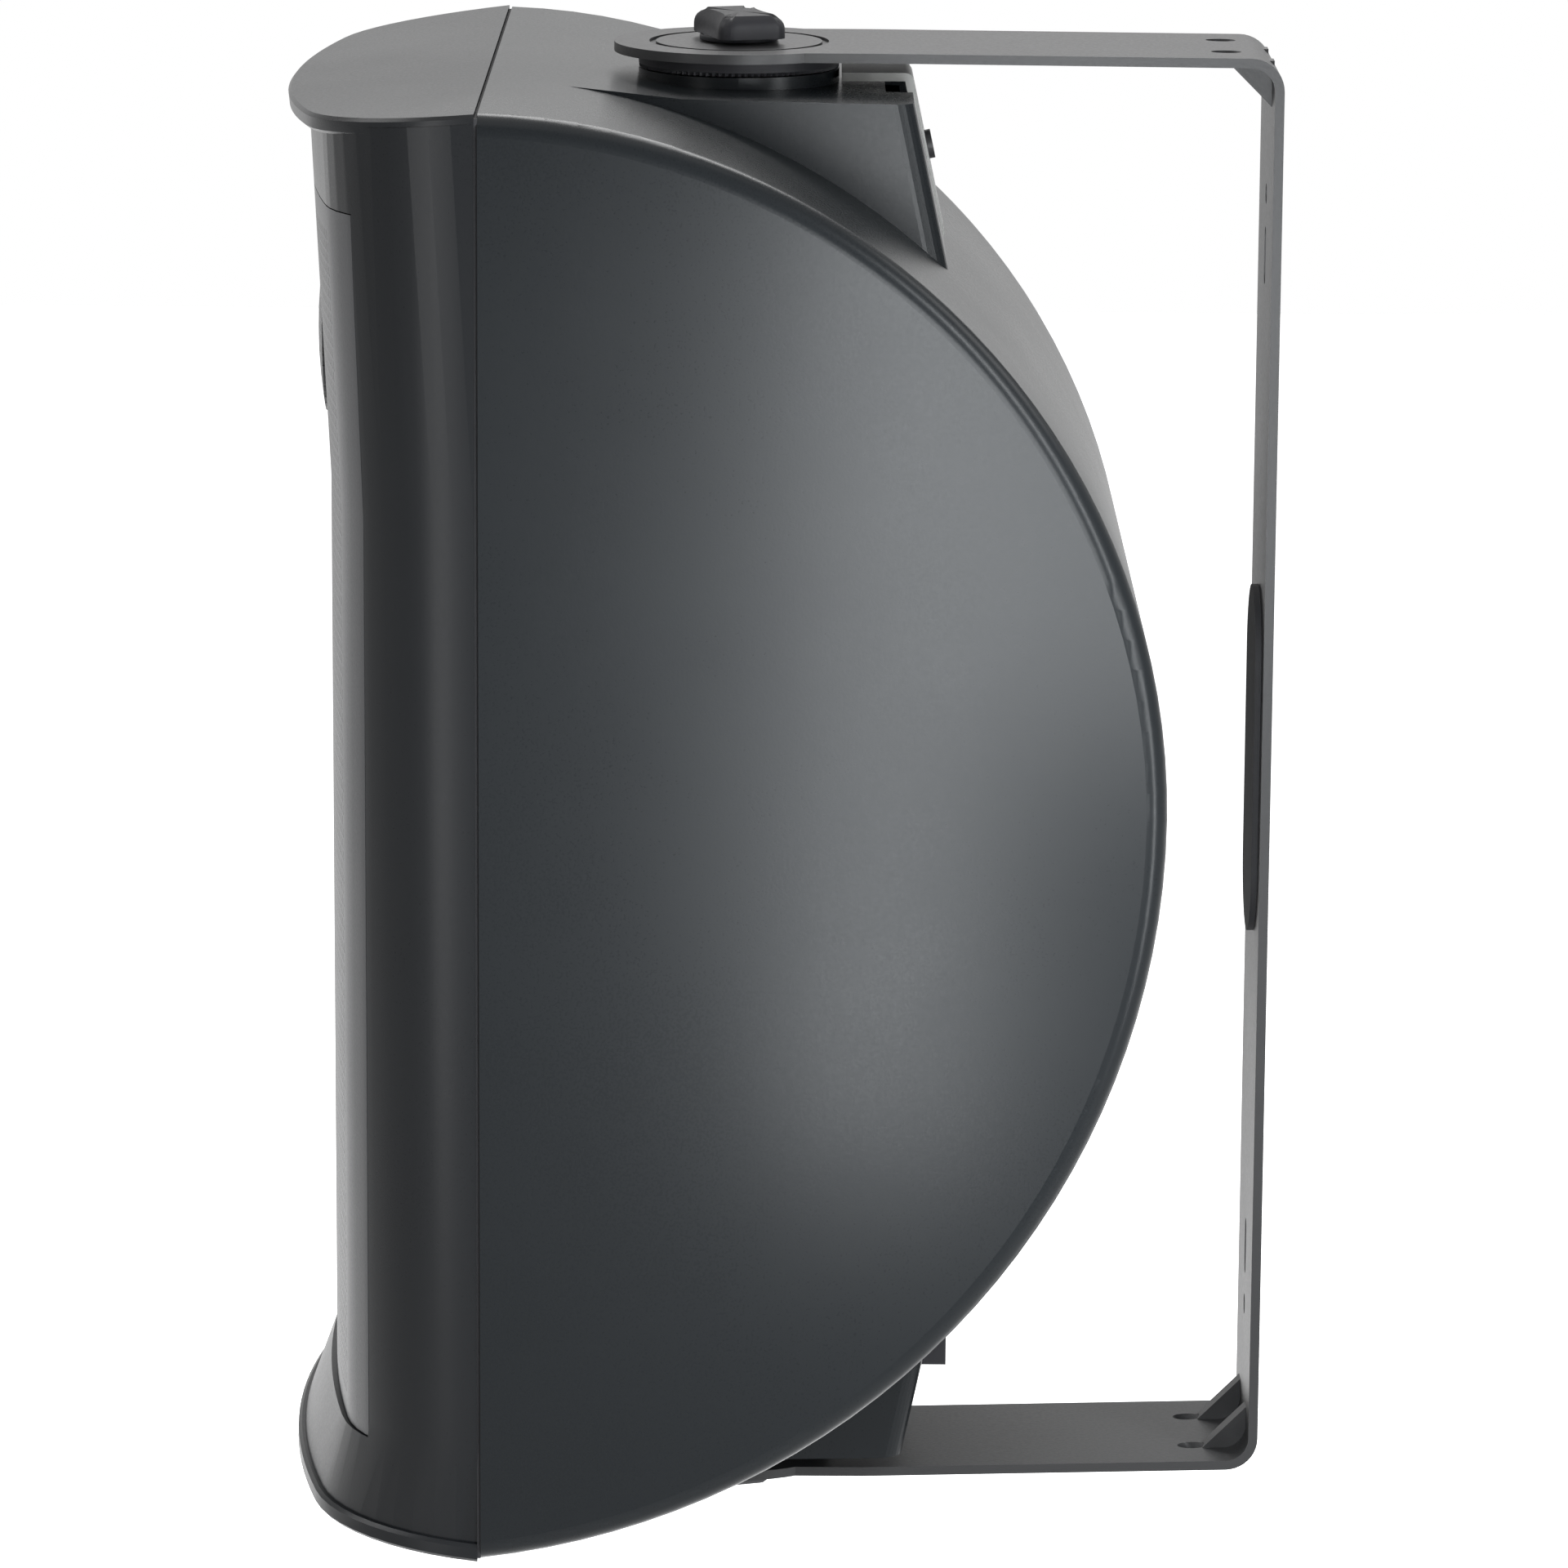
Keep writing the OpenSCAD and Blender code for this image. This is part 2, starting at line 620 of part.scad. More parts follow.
module bracket() {
    up = half_path(arm_out, top_arm_slope, bend_r);
    up_in = half_path(arm_out, top_arm_slope, bend_r - steel_t);
    lo = flip(half_path(low_arm_out, low_arm_slope, bend_r));
    lo_in = flip(half_path(low_arm_out, low_arm_slope, bend_r - steel_t));
    color("#4a4a4c") difference() {
        union() {
            translate([-arm_w / 2, 0, 0]) rotate([90, 0, 90]) linear_extrude(arm_w)
                polygon(concat(reversed(lo), up, reversed(up_in), lo_in));
            translate([0, axis_y, arm_in]) cylinder(d = disc_d, h = steel_t, $fn = 96);
            translate([0, axis_y, -low_arm_out]) cylinder(d = disc_d, h = steel_t, $fn = 96);
            dart(arm_out, top_arm_slope);
            mirror([0, 0, 1]) dart(low_arm_out, low_arm_slope);
        }
        dart_dents(arm_out, top_arm_slope);
        mirror([0, 0, 1]) dart_dents(low_arm_out, low_arm_slope);
        translate([0, axis_y, arm_in - 1]) cylinder(r = arm_hole_r, h = steel_t + 2);
        translate([0, axis_y, -low_arm_out - 1]) cylinder(r = arm_hole_r, h = steel_t + 2);
        for (m = [0, 1]) mirror([0, 0, m]) {
            translate([0, axis_y, m == 0 ? arm_out - 0.7 : low_arm_out - 0.7]) difference() {
                cylinder(d = groove_d + 1.6, h = 2);
                translate([0, 0, -1]) cylinder(d = groove_d - 1.6, h = 4);
            }
            translate([0, -steel_t - 1, hole_z]) rotate([-90, 0, 0]) cylinder(d = slot_w, h = steel_t + 2);
            for (e = [-1, 1]) translate([0, -steel_t - 1, slot_z + e * (slot_l - slot_w) / 2])
                rotate([-90, 0, 0]) cylinder(d = slot_w, h = steel_t + 2);
            translate([-slot_w / 2, -steel_t - 1, slot_z - (slot_l - slot_w) / 2])
                cube([slot_w, steel_t + 2, slot_l - slot_w]);
        }
    }
}

module bracket_pad() {
    color("#1a1a1b") translate([0, -steel_t, 0]) {
        translate([-pad_w / 2, -pad_t, -pad_l / 2 + pad_w / 2]) cube([pad_w, pad_t, pad_l - pad_w]);
        for (s = [-1, 1]) translate([0, 0, s * (pad_l - pad_w) / 2]) rotate([90, 0, 0])
            cylinder(d = pad_w, h = pad_t);
    }
}

// Saw-edged ring: plain above, toothed below
module clamp_washer() {
    n = washer_teeth;
    color("#141416") difference() {
        union() {
            translate([0, 0, tooth_h]) cylinder(d = collar_d, h = washer_t - tooth_h);
            linear_extrude(tooth_h + 0.2)
                polygon([for (i = [0:2 * n - 1]) let (r = collar_d / 2 - 0.1 - (i % 2) * 0.9)
                    [r * cos(180 * i / n), r * sin(180 * i / n)]]);
        }
        translate([0, 0, -1]) cylinder(r = arm_hole_r, h = washer_t + 2);
    }
}

module top_washer() translate([0, axis_y, washer_z]) clamp_washer();
module bottom_washer() mirror([0, 0, 1]) translate([0, axis_y, low_washer_z]) clamp_washer();

// Brass insert, open at its outer end
module insert() {
    color("#b08d4a") difference() {
        cylinder(r = insert_r, h = insert_l);
        translate([0, 0, 2]) cylinder(r = stud_r + thread_gap, h = insert_l);
    }
}

module top_insert() translate([0, axis_y, pod_z + collar_h - insert_l]) insert();
module bottom_insert() mirror([0, 0, 1]) translate([0, axis_y, low_collar_z - insert_l]) insert();

// Finger knob with its stud, standing on the arm; base at z = 0
module knob(grip) {
    bar_l = knob_d - 1;
    color("#2a2b2d") {
        cylinder(d = knob_d, h = knob_base_h);
        hull() {
            translate([0, 0, knob_base_h - 0.1]) linear_extrude(eps) square([bar_l, knob_bar_w],
                center = true);
            translate([0, 0, knob_h - 2]) linear_extrude(eps) square([bar_l - 0.8, knob_bar_w - 2],
                center = true);
            translate([0, 0, knob_h - eps]) linear_extrude(eps) square([bar_l - 7, knob_bar_w - 5],
                center = true);
        }
    }
    color("#8c8c8c") translate([0, 0, -grip]) cylinder(r = stud_r, h = grip + 1);
}

module top_knob()
    translate([0, axis_y, arm_out + 0.3]) rotate([0, 0, knob_turn])
        knob(arm_out + 0.3 - collar_z + stud_grip);
module bottom_knob()
    mirror([0, 0, 1]) translate([0, axis_y, low_arm_out + 0.3]) rotate([0, 0, knob_turn])
        knob(low_arm_out + 0.3 - low_collar_z + stud_grip);

// Puts the origin at the top of the boss's rear face, with Z up along that face
module at_pod_rear() at_pod() translate([0, pod_behind, 0]) rotate([pod_lean, 0, 0]) children();

// Side profile of the tab: flat, bent over the boss's corner and down its rear face
module tab_profile() {
    z = pod_z + tab_lift;
    y = axis_y + collar_d / 2 + 0.6;
    out = [cos(tab_lean), sin(tab_lean)];
    down = [sin(tab_lean), -cos(tab_lean)];
    bend = [tab_bend_y, z];
    foot = bend + (tab_leg + tab_bend_up) * down;
    polygon(concat(
        [bend, [y, z], [y, z + tab_t]],
        [for (i = [0:10]) let (a = 90 - (90 - tab_lean) * i / 10) bend + tab_t * [cos(a), sin(a)]],
        [foot + tab_t * out, foot]));
}

module safety_tab() {
    color("#6f6f6a") difference() {
        translate([-tab_w / 2, 0, 0]) rotate([90, 0, 90]) linear_extrude(tab_w) tab_profile();
        at_pod_rear() translate([0, -10, -tab_screw_down]) rotate([-90, 0, 0]) cylinder(d = 3.4, h = 20);
    }
}

module tab_screw() {
    color("#8f8f8c") at_pod_rear() translate([0, tab_in + tab_t, -tab_screw_down]) rotate([90, 0, 0]) {
        translate([0, 0, -1.4]) cylinder(d = 7, h = 1.4);
        cylinder(d = 3, h = 10);
    }
}

// Places a driver's own axis: origin on the panel's front, +Z toward the rear
module at_woofer() translate([0, panel_y, woofer_z]) rotate([-90, 0, 0]) children();
module at_tweeter() translate([0, panel_y, tweeter_z]) rotate([-90, 0, 0]) children();

module woofer_basket() {
    b = basket_depth;
    r0 = woofer_d / 2 - 10.5;
    r1 = magnet_d / 2 - 3;
    color("#33353a") at_woofer() difference() {
        rotate_extrude() polygon([
            [r0 - 6, 0.8], [r0 - 4.4, 0.8], [r0 - 4.4, 0], [woofer_d / 2, 0],
                [woofer_d / 2, woofer_flange], [r0 + 1, woofer_flange],
            [r1 + 1, spider_z], [r1 + 1, b + 2], [gap_r + 2, b + 2], [gap_r + 2, b],
            [r1 - 1, b], [r1 - 1, spider_z + 2], [r1 - 6, spider_z + 2], [r1 - 6, spider_z],
            [r1 - 1.2, spider_z], [r0 - 2, 2], [r0 - 6, 2]]);
        for (i = [0:5]) rotate([0, 0, i * 60]) translate([0, 0, spider_z / 2])
            rotate([0, 90, 0]) translate([-9, -14, 0]) cube([20, 28, woofer_d]);
        for (i = [0:5]) rotate([0, 0, i * 60 + 30]) translate([screw_ring, 0, -1])
            cylinder(d = driver_screw_d + 0.4, h = 10);
    }
}

module woofer_gasket() {
    color("#0f0f10") at_woofer() translate([0, 0, -1.2]) difference() {
        cylinder(r = woofer_d / 2 - 10.2, h = 1.2);
        translate([0, 0, -1]) cylinder(r = woofer_d / 2 - 15, h = 4);
    }
}

module woofer_surround() {
    ri = cone_d / 2;
    ro = woofer_d / 2 - 15.2;
    m = (ri + ro) / 2;
    w = (ro - ri) / 2 - 2;
    color("#1b1b1c") at_woofer() rotate_extrude() {
        polygon(concat(
            [[ri - 1.5, 0], [m - w, 0]],
            [for (i = [1:11]) [m - w * cos(15 * i), -w * sin(15 * i)]],
            [[m + w, 0], [ro, 0], [ro, 0.8], [m + w - 0.8, 0.8]],
            [for (i = [11:-1:1]) [m - (w - 0.8) * cos(15 * i), 0.8 - w * sin(15 * i)]],
            [[m - w + 0.8, 0.8], [ri - 1.5, 0.8]]));
    }
}

module woofer_cone() {
    r = cone_d / 2 - 0.5;
    color("#26282b") at_woofer() rotate_extrude() polygon([
        [r, 0.8], [r, 0.8 + cone_t], [r - 3, 0.8 + cone_t], [coil_r + 1, neck_z + cone_t],
        [coil_r, neck_z + cone_t], [coil_r, neck_z - 0.4], [r - 4, 0.8]]);
}

module dust_cap() {
    r = cap_d / 2;
    k = (neck_z - 2) / (cone_d / 2 - coil_r - 4);
    z0 = neck_z - (r - coil_r) * k - 1.5;
    rs = (r * r + 64) / 16;
    color("#1d1e20") at_woofer() rotate_extrude() polygon(concat(
        [for (i = [0:8]) let (x = r * i / 8) [x, z0 - sqrt(rs * rs - x * x) + sqrt(rs * rs - r * r)]],
        [for (i = [8:-1:0]) let (x = r * i / 8) [x, z0 + 0.6 - sqrt(rs * rs - x * x)
            + sqrt(rs * rs - r * r)]]));
}

module tube(ro, ri, z0, z1) {
    translate([0, 0, z0]) difference() {
        cylinder(r = ro, h = z1 - z0);
        translate([0, 0, -1]) cylinder(r = ri, h = z1 - z0 + 2);
    }
}

module coil_former() {
    color("#c9a66b") at_woofer() tube(coil_r, coil_r - former_t, neck_z - 0.4, mag_z + 2);
}

module coil_winding() {
    color("#b5652a") at_woofer() tube(coil_r + winding_t, coil_r, mag_z - plate_t - 2, mag_z + 2);
}

module spider() {
    r1 = magnet_d / 2 - 4.4;
    n = 40;
    color("#c8a043") at_woofer() rotate_extrude() polygon(concat(
        [for (i = [0:n]) let (x = coil_r + (r1 - coil_r) * i / n)
            [x, spider_z - 1.2 - 0.9 * sin(1440 * i / n)]],
        [for (i = [n:-1:0]) let (x = coil_r + (r1 - coil_r) * i / n)
            [x, (i > n - 8 ? spider_z : spider_z - 0.6 - 0.9 * sin(1440 * i / n))]]));
}

module woofer_top_plate() {
    color("#8d9094") at_woofer() tube(magnet_d / 2 - 4, gap_r, mag_z - plate_t, mag_z);
}

module woofer_magnet() {
    color("#3c3c3e") at_woofer() tube(magnet_d / 2, gap_r + 8, mag_z, mag_z + magnet_t);
}

module woofer_pole() {
    color("#8d9094") at_woofer() {
        translate([0, 0, mag_z - plate_t]) cylinder(r = pole_r, h = plate_t + magnet_t + 1);
        translate([0, 0, mag_z + magnet_t]) cylinder(d = magnet_d - 6, h = plate_t);
    }
}

module screw(d, head, l) {
    translate([0, 0, -d * 0.5]) cylinder(d = head, h = d * 0.5);
    translate([0, 0, -eps]) cylinder(d = d, h = l);
}

module woofer_screws() {
    color("#555") at_woofer() for (i = [0:5]) rotate([0, 0, i * 60 + 30])
        translate([screw_ring, 0, 0]) screw(driver_screw_d, driver_screw_d + 3, 10);
}

module tweeter_faceplate() {
    rd = tweeter_dome_d / 2;
    color("#202124") at_tweeter() difference() {
        union() {
            cylinder(d = tweeter_d, h = 3);
            cylinder(r = rd + 13.5, h = 8);
        }
        translate([0, 0, -0.01]) cylinder(r1 = rd + 11, r2 = rd + 2.4, h = 5.02);
        translate([0, 0, -1]) cylinder(r = rd + 2.4, h = 12);
        for (i = [0:3]) rotate([0, 0, i * 90 + 45]) translate([tweeter_d / 2 - 3.5, 0, -1])
            cylinder(d = driver_screw_d - 0.6, h = 10);
    }
}

module tweeter_dome() {
    r = tweeter_dome_d / 2;
    h = 4;
    rs = (r * r + h * h) / (2 * h);
    color("#3a3632") at_tweeter() {
        rotate_extrude() polygon(concat(
            [for (i = [0:8]) let (x = r * i / 8) [x, 5 + rs - h - sqrt(rs * rs - x * x)]],
            [[r, 5.01], [r, 11], [r - 0.4, 11], [r - 0.4, 5.4]],
            [for (i = [7:-1:0]) let (x = r * i / 8) [x, 5.5 + rs - h - sqrt(rs * rs - x * x)]]));
    }
}

module tweeter_surround() {
    r = tweeter_dome_d / 2;
    color("#2c2926") at_tweeter() tube(r + 2.4, r, 5.8, 6.3);
}

module tweeter_top_plate() {
    r = tweeter_dome_d / 2;
    color("#8d9094") at_tweeter() tube(tweeter_magnet_d / 2 - 4, r + 0.6, 8, 12);
}

module tweeter_magnet() {
    color("#3c3c3e") at_tweeter()
        tube(tweeter_magnet_d / 2, tweeter_dome_d / 2 + 4, 12, 12 + tweeter_magnet_t);
}

module tweeter_pole() {
    color("#8d9094") at_tweeter() {
        translate([0, 0, 8]) cylinder(r = tweeter_dome_d / 2 - 1, h = 5 + tweeter_magnet_t);
        translate([0, 0, 12 + tweeter_magnet_t]) cylinder(d = tweeter_magnet_d - 4, h = 4);
    }
}

module tweeter_screws() {
    color("#555") at_tweeter() for (i = [0:3]) rotate([0, 0, i * 90 + 45])
        translate([tweeter_d / 2 - 3.5, 0, 0]) screw(driver_screw_d - 1, driver_screw_d + 1, 8);
}

module case_screws() {
    color("#555") for (s = [-1, 1], z = case_zs)
        translate([s * case_x, panel_y, z]) rotate([-90, 0, 0])
            screw(case_screw_d, case_screw_d + 4, case_screw_l);
}

module term_housing() {
    color("#1f2022") difference() {
        translate([-term_w / 2 + 0.15, term_y - term_deep, -term_low + 0.15])
            cube([term_w - 0.3, term_deep, term_h - 0.3]);
        translate([-term_w / 2 + 3, term_y - term_deep - 1, -term_low + 3])
            cube([term_w - 6, term_deep - pocket_d - 3, term_h - 6]);
        translate([-term_w / 2 + 3, post_y, -term_low + 3]) cube([term_w - 6, pocket_d + 1, term_h - 6]);
        for (s = [-1, 1]) translate([s * post_gap / 2, post_y - 8, post_z]) rotate([-90, 0, 0])
            cylinder(d = 4, h = 10);
    }
}

module term_posts() {
    color("#b9a25a") for (s = [-1, 1]) translate([s * post_gap / 2, post_y, post_z]) rotate([90, 0, 0]) {
        cylinder(d = 4, h = 14);
        translate([0, 0, 4]) cylinder(d = 8, h = 2, $fn = 6);
        translate([0, 0, -2]) cylinder(d = post_d - 1, h = 2);
        translate([0, 0, -post_l]) cylinder(d = 3.6, h = post_l);
    }
}

module post_cap() {
    difference() {
        cylinder(d = post_d, h = post_l - 1);
        translate([0, 0, -1]) cylinder(d = 3.7, h = post_l - 1);
        for (i = [0:11]) rotate([0, 0, i * 30]) translate([post_d / 2 + 0.3, 0, 2])
            cylinder(r = 0.8, h = post_l, $fn = 16);
    }
}

module post_cap_plus()
    color("#a02020") translate([post_gap / 2, post_y + 2.3, post_z]) rotate([-90, 0, 0]) post_cap();
module post_cap_minus()
    color("#161616") translate([-post_gap / 2, post_y + 2.3, post_z]) rotate([-90, 0, 0]) post_cap();

module at_board() translate([board_x - board_t, board_y, board_z]) children();

module crossover_board() {
    color("#2f5a3a") at_board() difference() {
        cube([board_t, board_d, board_h]);
        for (y = [6, board_d - 6], z = [6, board_h - 6])
            translate([-1, y, z]) rotate([0, 90, 0]) cylinder(d = 3, h = board_t + 2);
    }
}

module crossover_screws() {
    color("#777") at_board() for (y = [6, board_d - 6], z = [6, board_h - 6])
        translate([board_t, y, z]) rotate([0, -90, 0]) screw(2.5, 5, board_t + 4);
}

module woofer_choke() {
    color("#b5652a") at_board() translate([board_t, board_d / 2, choke_d / 2 + 2]) rotate([0, 90, 0]) {
        tube(choke_d / 2, 6, 0, 16);
    }
}

module tweeter_choke() {
    color("#b5652a") at_board() translate([board_t, 20, board_h - 24]) rotate([0, 90, 0]) tube(10, 4, 0, 12);
}

module capacitors() {
    color("#27406b") at_board() {
        translate([board_t + 6, board_d - 18, board_h - 48]) cylinder(d = 12, h = 24);
        translate([board_t + 5, board_d - 32, board_h - 18]) rotate([-90, 0, 0]) cylinder(d = 10, h = 24);
    }
}

module resistor() {
    color("#dcd8cc") at_board() translate([board_t, board_d - 54, board_h - 48.5]) cube([7, 26, 7]);
}

// Smooth round wire along hand-picked points
function unit(v) = v / norm(v);
function lerp_path(p, m) = [for (i = [0:len(p) - 2], j = [0:m - 1])
    let (a = p[max(i - 1, 0)], b = p[i], c = p[i + 1], d = p[min(i + 2, len(p) - 1)], t = j / m)
    b + t * 0.5 * (c - a) + t * t * (a - 2.5 * b + 2 * c - 0.5 * d)
        + t * t * t * (-0.5 * a + 1.5 * b - 1.5 * c + 0.5 * d)];
module wire(points, d) {
    p = concat(lerp_path(points, 4), [points[len(points) - 1]]);
    n = len(p);
    k = 8;
    rings = [for (i = [0:n - 1])
        let (t = unit(p[min(i + 1, n - 1)] - p[max(i - 1, 0)]),
            u = unit(cross(t, abs(t[2]) < 0.8 ? [0, 0, 1] : [0, 1, 0])), v = cross(t, u))
        [for (j = [0:k - 1]) p[i] + d / 2 * (cos(360 * j / k) * u + sin(360 * j / k) * v)]];
    polyhedron(
        points = [for (r = rings, q = r) q],
        faces = concat(
            [[for (j = [0:k - 1]) j]],
            [for (i = [0:n - 2], j = [0:k - 1]) [i * k + j, (i + 1) * k + j, (i + 1) * k + (j + 1) % k]],
            [for (i = [0:n - 2], j = [0:k - 1]) [i * k + j, (i + 1) * k + (j + 1) % k, i * k + (j + 1) % k]],
            [[for (j = [k - 1:-1:0]) (n - 1) * k + j]]));
}

module input_wires() {
    x0 = board_x + 0.9;
    y1 = board_y + board_d;
    color("#b03030") wire([
        [post_gap / 2, post_y - 14.05, post_z], [post_gap / 2 - 3, post_y - 24, post_z + 2],
        [-6, term_y - 54, post_z + 9], [-45, term_y - 57, board_z + 14],
        [-82, y1 + 3, board_z + 44], [x0 + 5, y1 - 2, board_z + 42], [x0, y1 - 5, board_z + 40]], 1.8);
    color("#181818") wire([
        [-post_gap / 2, post_y - 14.05, post_z], [-post_gap / 2 - 3, post_y - 24, post_z + 1],
        [-20, term_y - 55, post_z + 5], [-50, term_y - 54, board_z + 5],
        [-82, y1, board_z + 36], [x0 + 5, y1 - 3, board_z + 35], [x0, y1 - 5, board_z + 34]], 1.8);
}

module woofer_wires() {
    x0 = board_x + 0.9;
    y1 = panel_y + spider_z + 4;
    for (k = [0, 1]) color(k == 0 ? "#b03030" : "#181818") wire([
        [x0, board_y + 4 + 3.5 * k, board_z + 33], [x0 + 6, board_y + 3.5 * k, board_z + 37],
        [x0 + 22, board_y + 3 + 3.5 * k, woofer_z + 2 + 2 * k], [-magnet_d / 2 - 8, y1, woofer_z - 1 + 4 * k],
        [-magnet_d / 2 + 1.2, y1, woofer_z - 2 + 4 * k]], 1.8);
}

module tweeter_wires() {
    x0 = board_x + 0.9;
    y1 = panel_y + 16 + tweeter_magnet_t;
    for (k = [0, 1]) color(k == 0 ? "#b03030" : "#181818") wire([
        [x0, board_y + 14 + 4 * k, board_z + board_h - 6],
            [x0, board_y + 14 + 4 * k, board_z + board_h + 2.5],
        [x0, board_y + 14 + 4 * k, board_z + board_h + 8],
        [x0 + 8, board_y + 6 + 4 * k, tweeter_z - 40],
            [-tweeter_magnet_d / 2 - 12, y1 + 6, tweeter_z - 12 + 4 * k],
        [-12, y1 + 9, tweeter_z - 3 + 4 * k], [-8, y1 + 4, tweeter_z - 2 + 4 * k],
        [-8, y1 + 0.05, tweeter_z - 2 + 4 * k]], 1.8);
}

module damping_wadding() {
    w = cab_w - 2 * shell_wall - 0.6;
    color("#d8d6cf") translate([-w / 2, seam_y + wadding_behind, wadding_low])
        cube([w, wadding_t, hh - wadding_low - wadding_top]);
}

rear_cabinet();
front_baffle();
gasket_ring();
grille();
grille_liner();
case_screws();
bracket();
bracket_pad();
top_washer();
bottom_washer();
top_insert();
bottom_insert();
top_knob();
bottom_knob();
safety_tab();
tab_screw();
woofer_basket();
woofer_gasket();
woofer_surround();
woofer_cone();
dust_cap();
coil_former();
coil_winding();
spider();
woofer_top_plate();
woofer_magnet();
woofer_pole();
woofer_screws();
tweeter_faceplate();
tweeter_dome();
tweeter_surround();
tweeter_top_plate();
tweeter_magnet();
tweeter_pole();
tweeter_screws();
term_housing();
term_posts();
post_cap_plus();
post_cap_minus();
crossover_board();
crossover_screws();
woofer_choke();
tweeter_choke();
capacitors();
resistor();
input_wires();
woofer_wires();
tweeter_wires();
damping_wadding();
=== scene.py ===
"""Looks of the wall loudspeaker: camera, light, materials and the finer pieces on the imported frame."""
import json
import math

import bmesh
import bpy
from mathutils import Matrix, Vector

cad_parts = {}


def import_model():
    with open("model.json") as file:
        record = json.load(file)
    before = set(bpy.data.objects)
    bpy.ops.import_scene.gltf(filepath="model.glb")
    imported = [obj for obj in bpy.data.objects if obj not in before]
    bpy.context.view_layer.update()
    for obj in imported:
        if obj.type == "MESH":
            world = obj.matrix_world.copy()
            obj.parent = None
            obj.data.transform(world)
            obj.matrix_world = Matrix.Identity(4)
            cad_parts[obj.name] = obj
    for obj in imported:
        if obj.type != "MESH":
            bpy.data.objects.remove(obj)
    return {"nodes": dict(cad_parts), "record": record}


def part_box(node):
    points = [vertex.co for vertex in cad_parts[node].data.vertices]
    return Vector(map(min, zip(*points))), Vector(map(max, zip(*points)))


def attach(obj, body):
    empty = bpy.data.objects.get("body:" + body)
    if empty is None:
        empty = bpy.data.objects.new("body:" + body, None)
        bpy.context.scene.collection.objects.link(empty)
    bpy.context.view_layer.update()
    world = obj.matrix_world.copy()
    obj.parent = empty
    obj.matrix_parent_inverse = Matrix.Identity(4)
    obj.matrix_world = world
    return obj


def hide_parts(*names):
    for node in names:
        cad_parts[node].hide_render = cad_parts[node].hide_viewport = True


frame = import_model()
nodes = frame["nodes"]
scene = bpy.context.scene
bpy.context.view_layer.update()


# The photograph's camera, as fitted to the picture
PITCH, YAW, ROLL = (math.radians(a) for a in (12.271, -0.02, 0.355))
CAMERA_PLACE = (1.79827, -0.11827, 0.38376)
LENS_MM = 172.32
SENSOR_MM = 36
FAR_CLIP = 20


def photo_camera():
    """A long lens, square to the cabinet's side and above it, looking down a little."""
    ahead = Vector((-math.cos(YAW) * math.cos(PITCH), -math.sin(YAW) * math.cos(PITCH), -math.sin(PITCH)))
    level = Vector((-math.sin(YAW), math.cos(YAW), 0))
    upright = level.cross(ahead)
    right = level * math.cos(ROLL) + upright * math.sin(ROLL)
    up = upright * math.cos(ROLL) - level * math.sin(ROLL)
    bpy.ops.object.camera_add()
    camera = bpy.context.object
    camera.name = "photo_camera"
    camera.data.lens = LENS_MM
    camera.data.sensor_width = SENSOR_MM
    camera.data.clip_end = FAR_CLIP
    turn = Matrix((right, up, -ahead)).transposed().to_4x4()
    camera.matrix_world = Matrix.Translation(CAMERA_PLACE) @ turn
    scene.camera = camera


photo_camera()
scene.view_settings.view_transform = "Standard"


class Val:
    """A socket of a material's nodes that takes part in sums."""

    def __init__(self, paint, socket):
        self.paint = paint
        self.socket = socket

    def math(self, operation, *others):
        return self.paint.add("ShaderNodeMath", {"operation": operation}, self, *others)

    def __add__(self, other):
        return self.math("ADD", other)

    def __mul__(self, other):
        return self.math("MULTIPLY", other)

    def __sub__(self, other):
        return self.math("SUBTRACT", other)

    def __truediv__(self, other):
        return self.math("DIVIDE", other)

    def __rsub__(self, other):
        return self * -1 + other

    def ramp(self, low, high, start=0.0, end=1.0):
        """This value's place between low and high, as a number from start to end."""
        smooth = {"interpolation_type": "SMOOTHSTEP"}
        return self.paint.add("ShaderNodeMapRange", smooth, self, low, high, start, end)


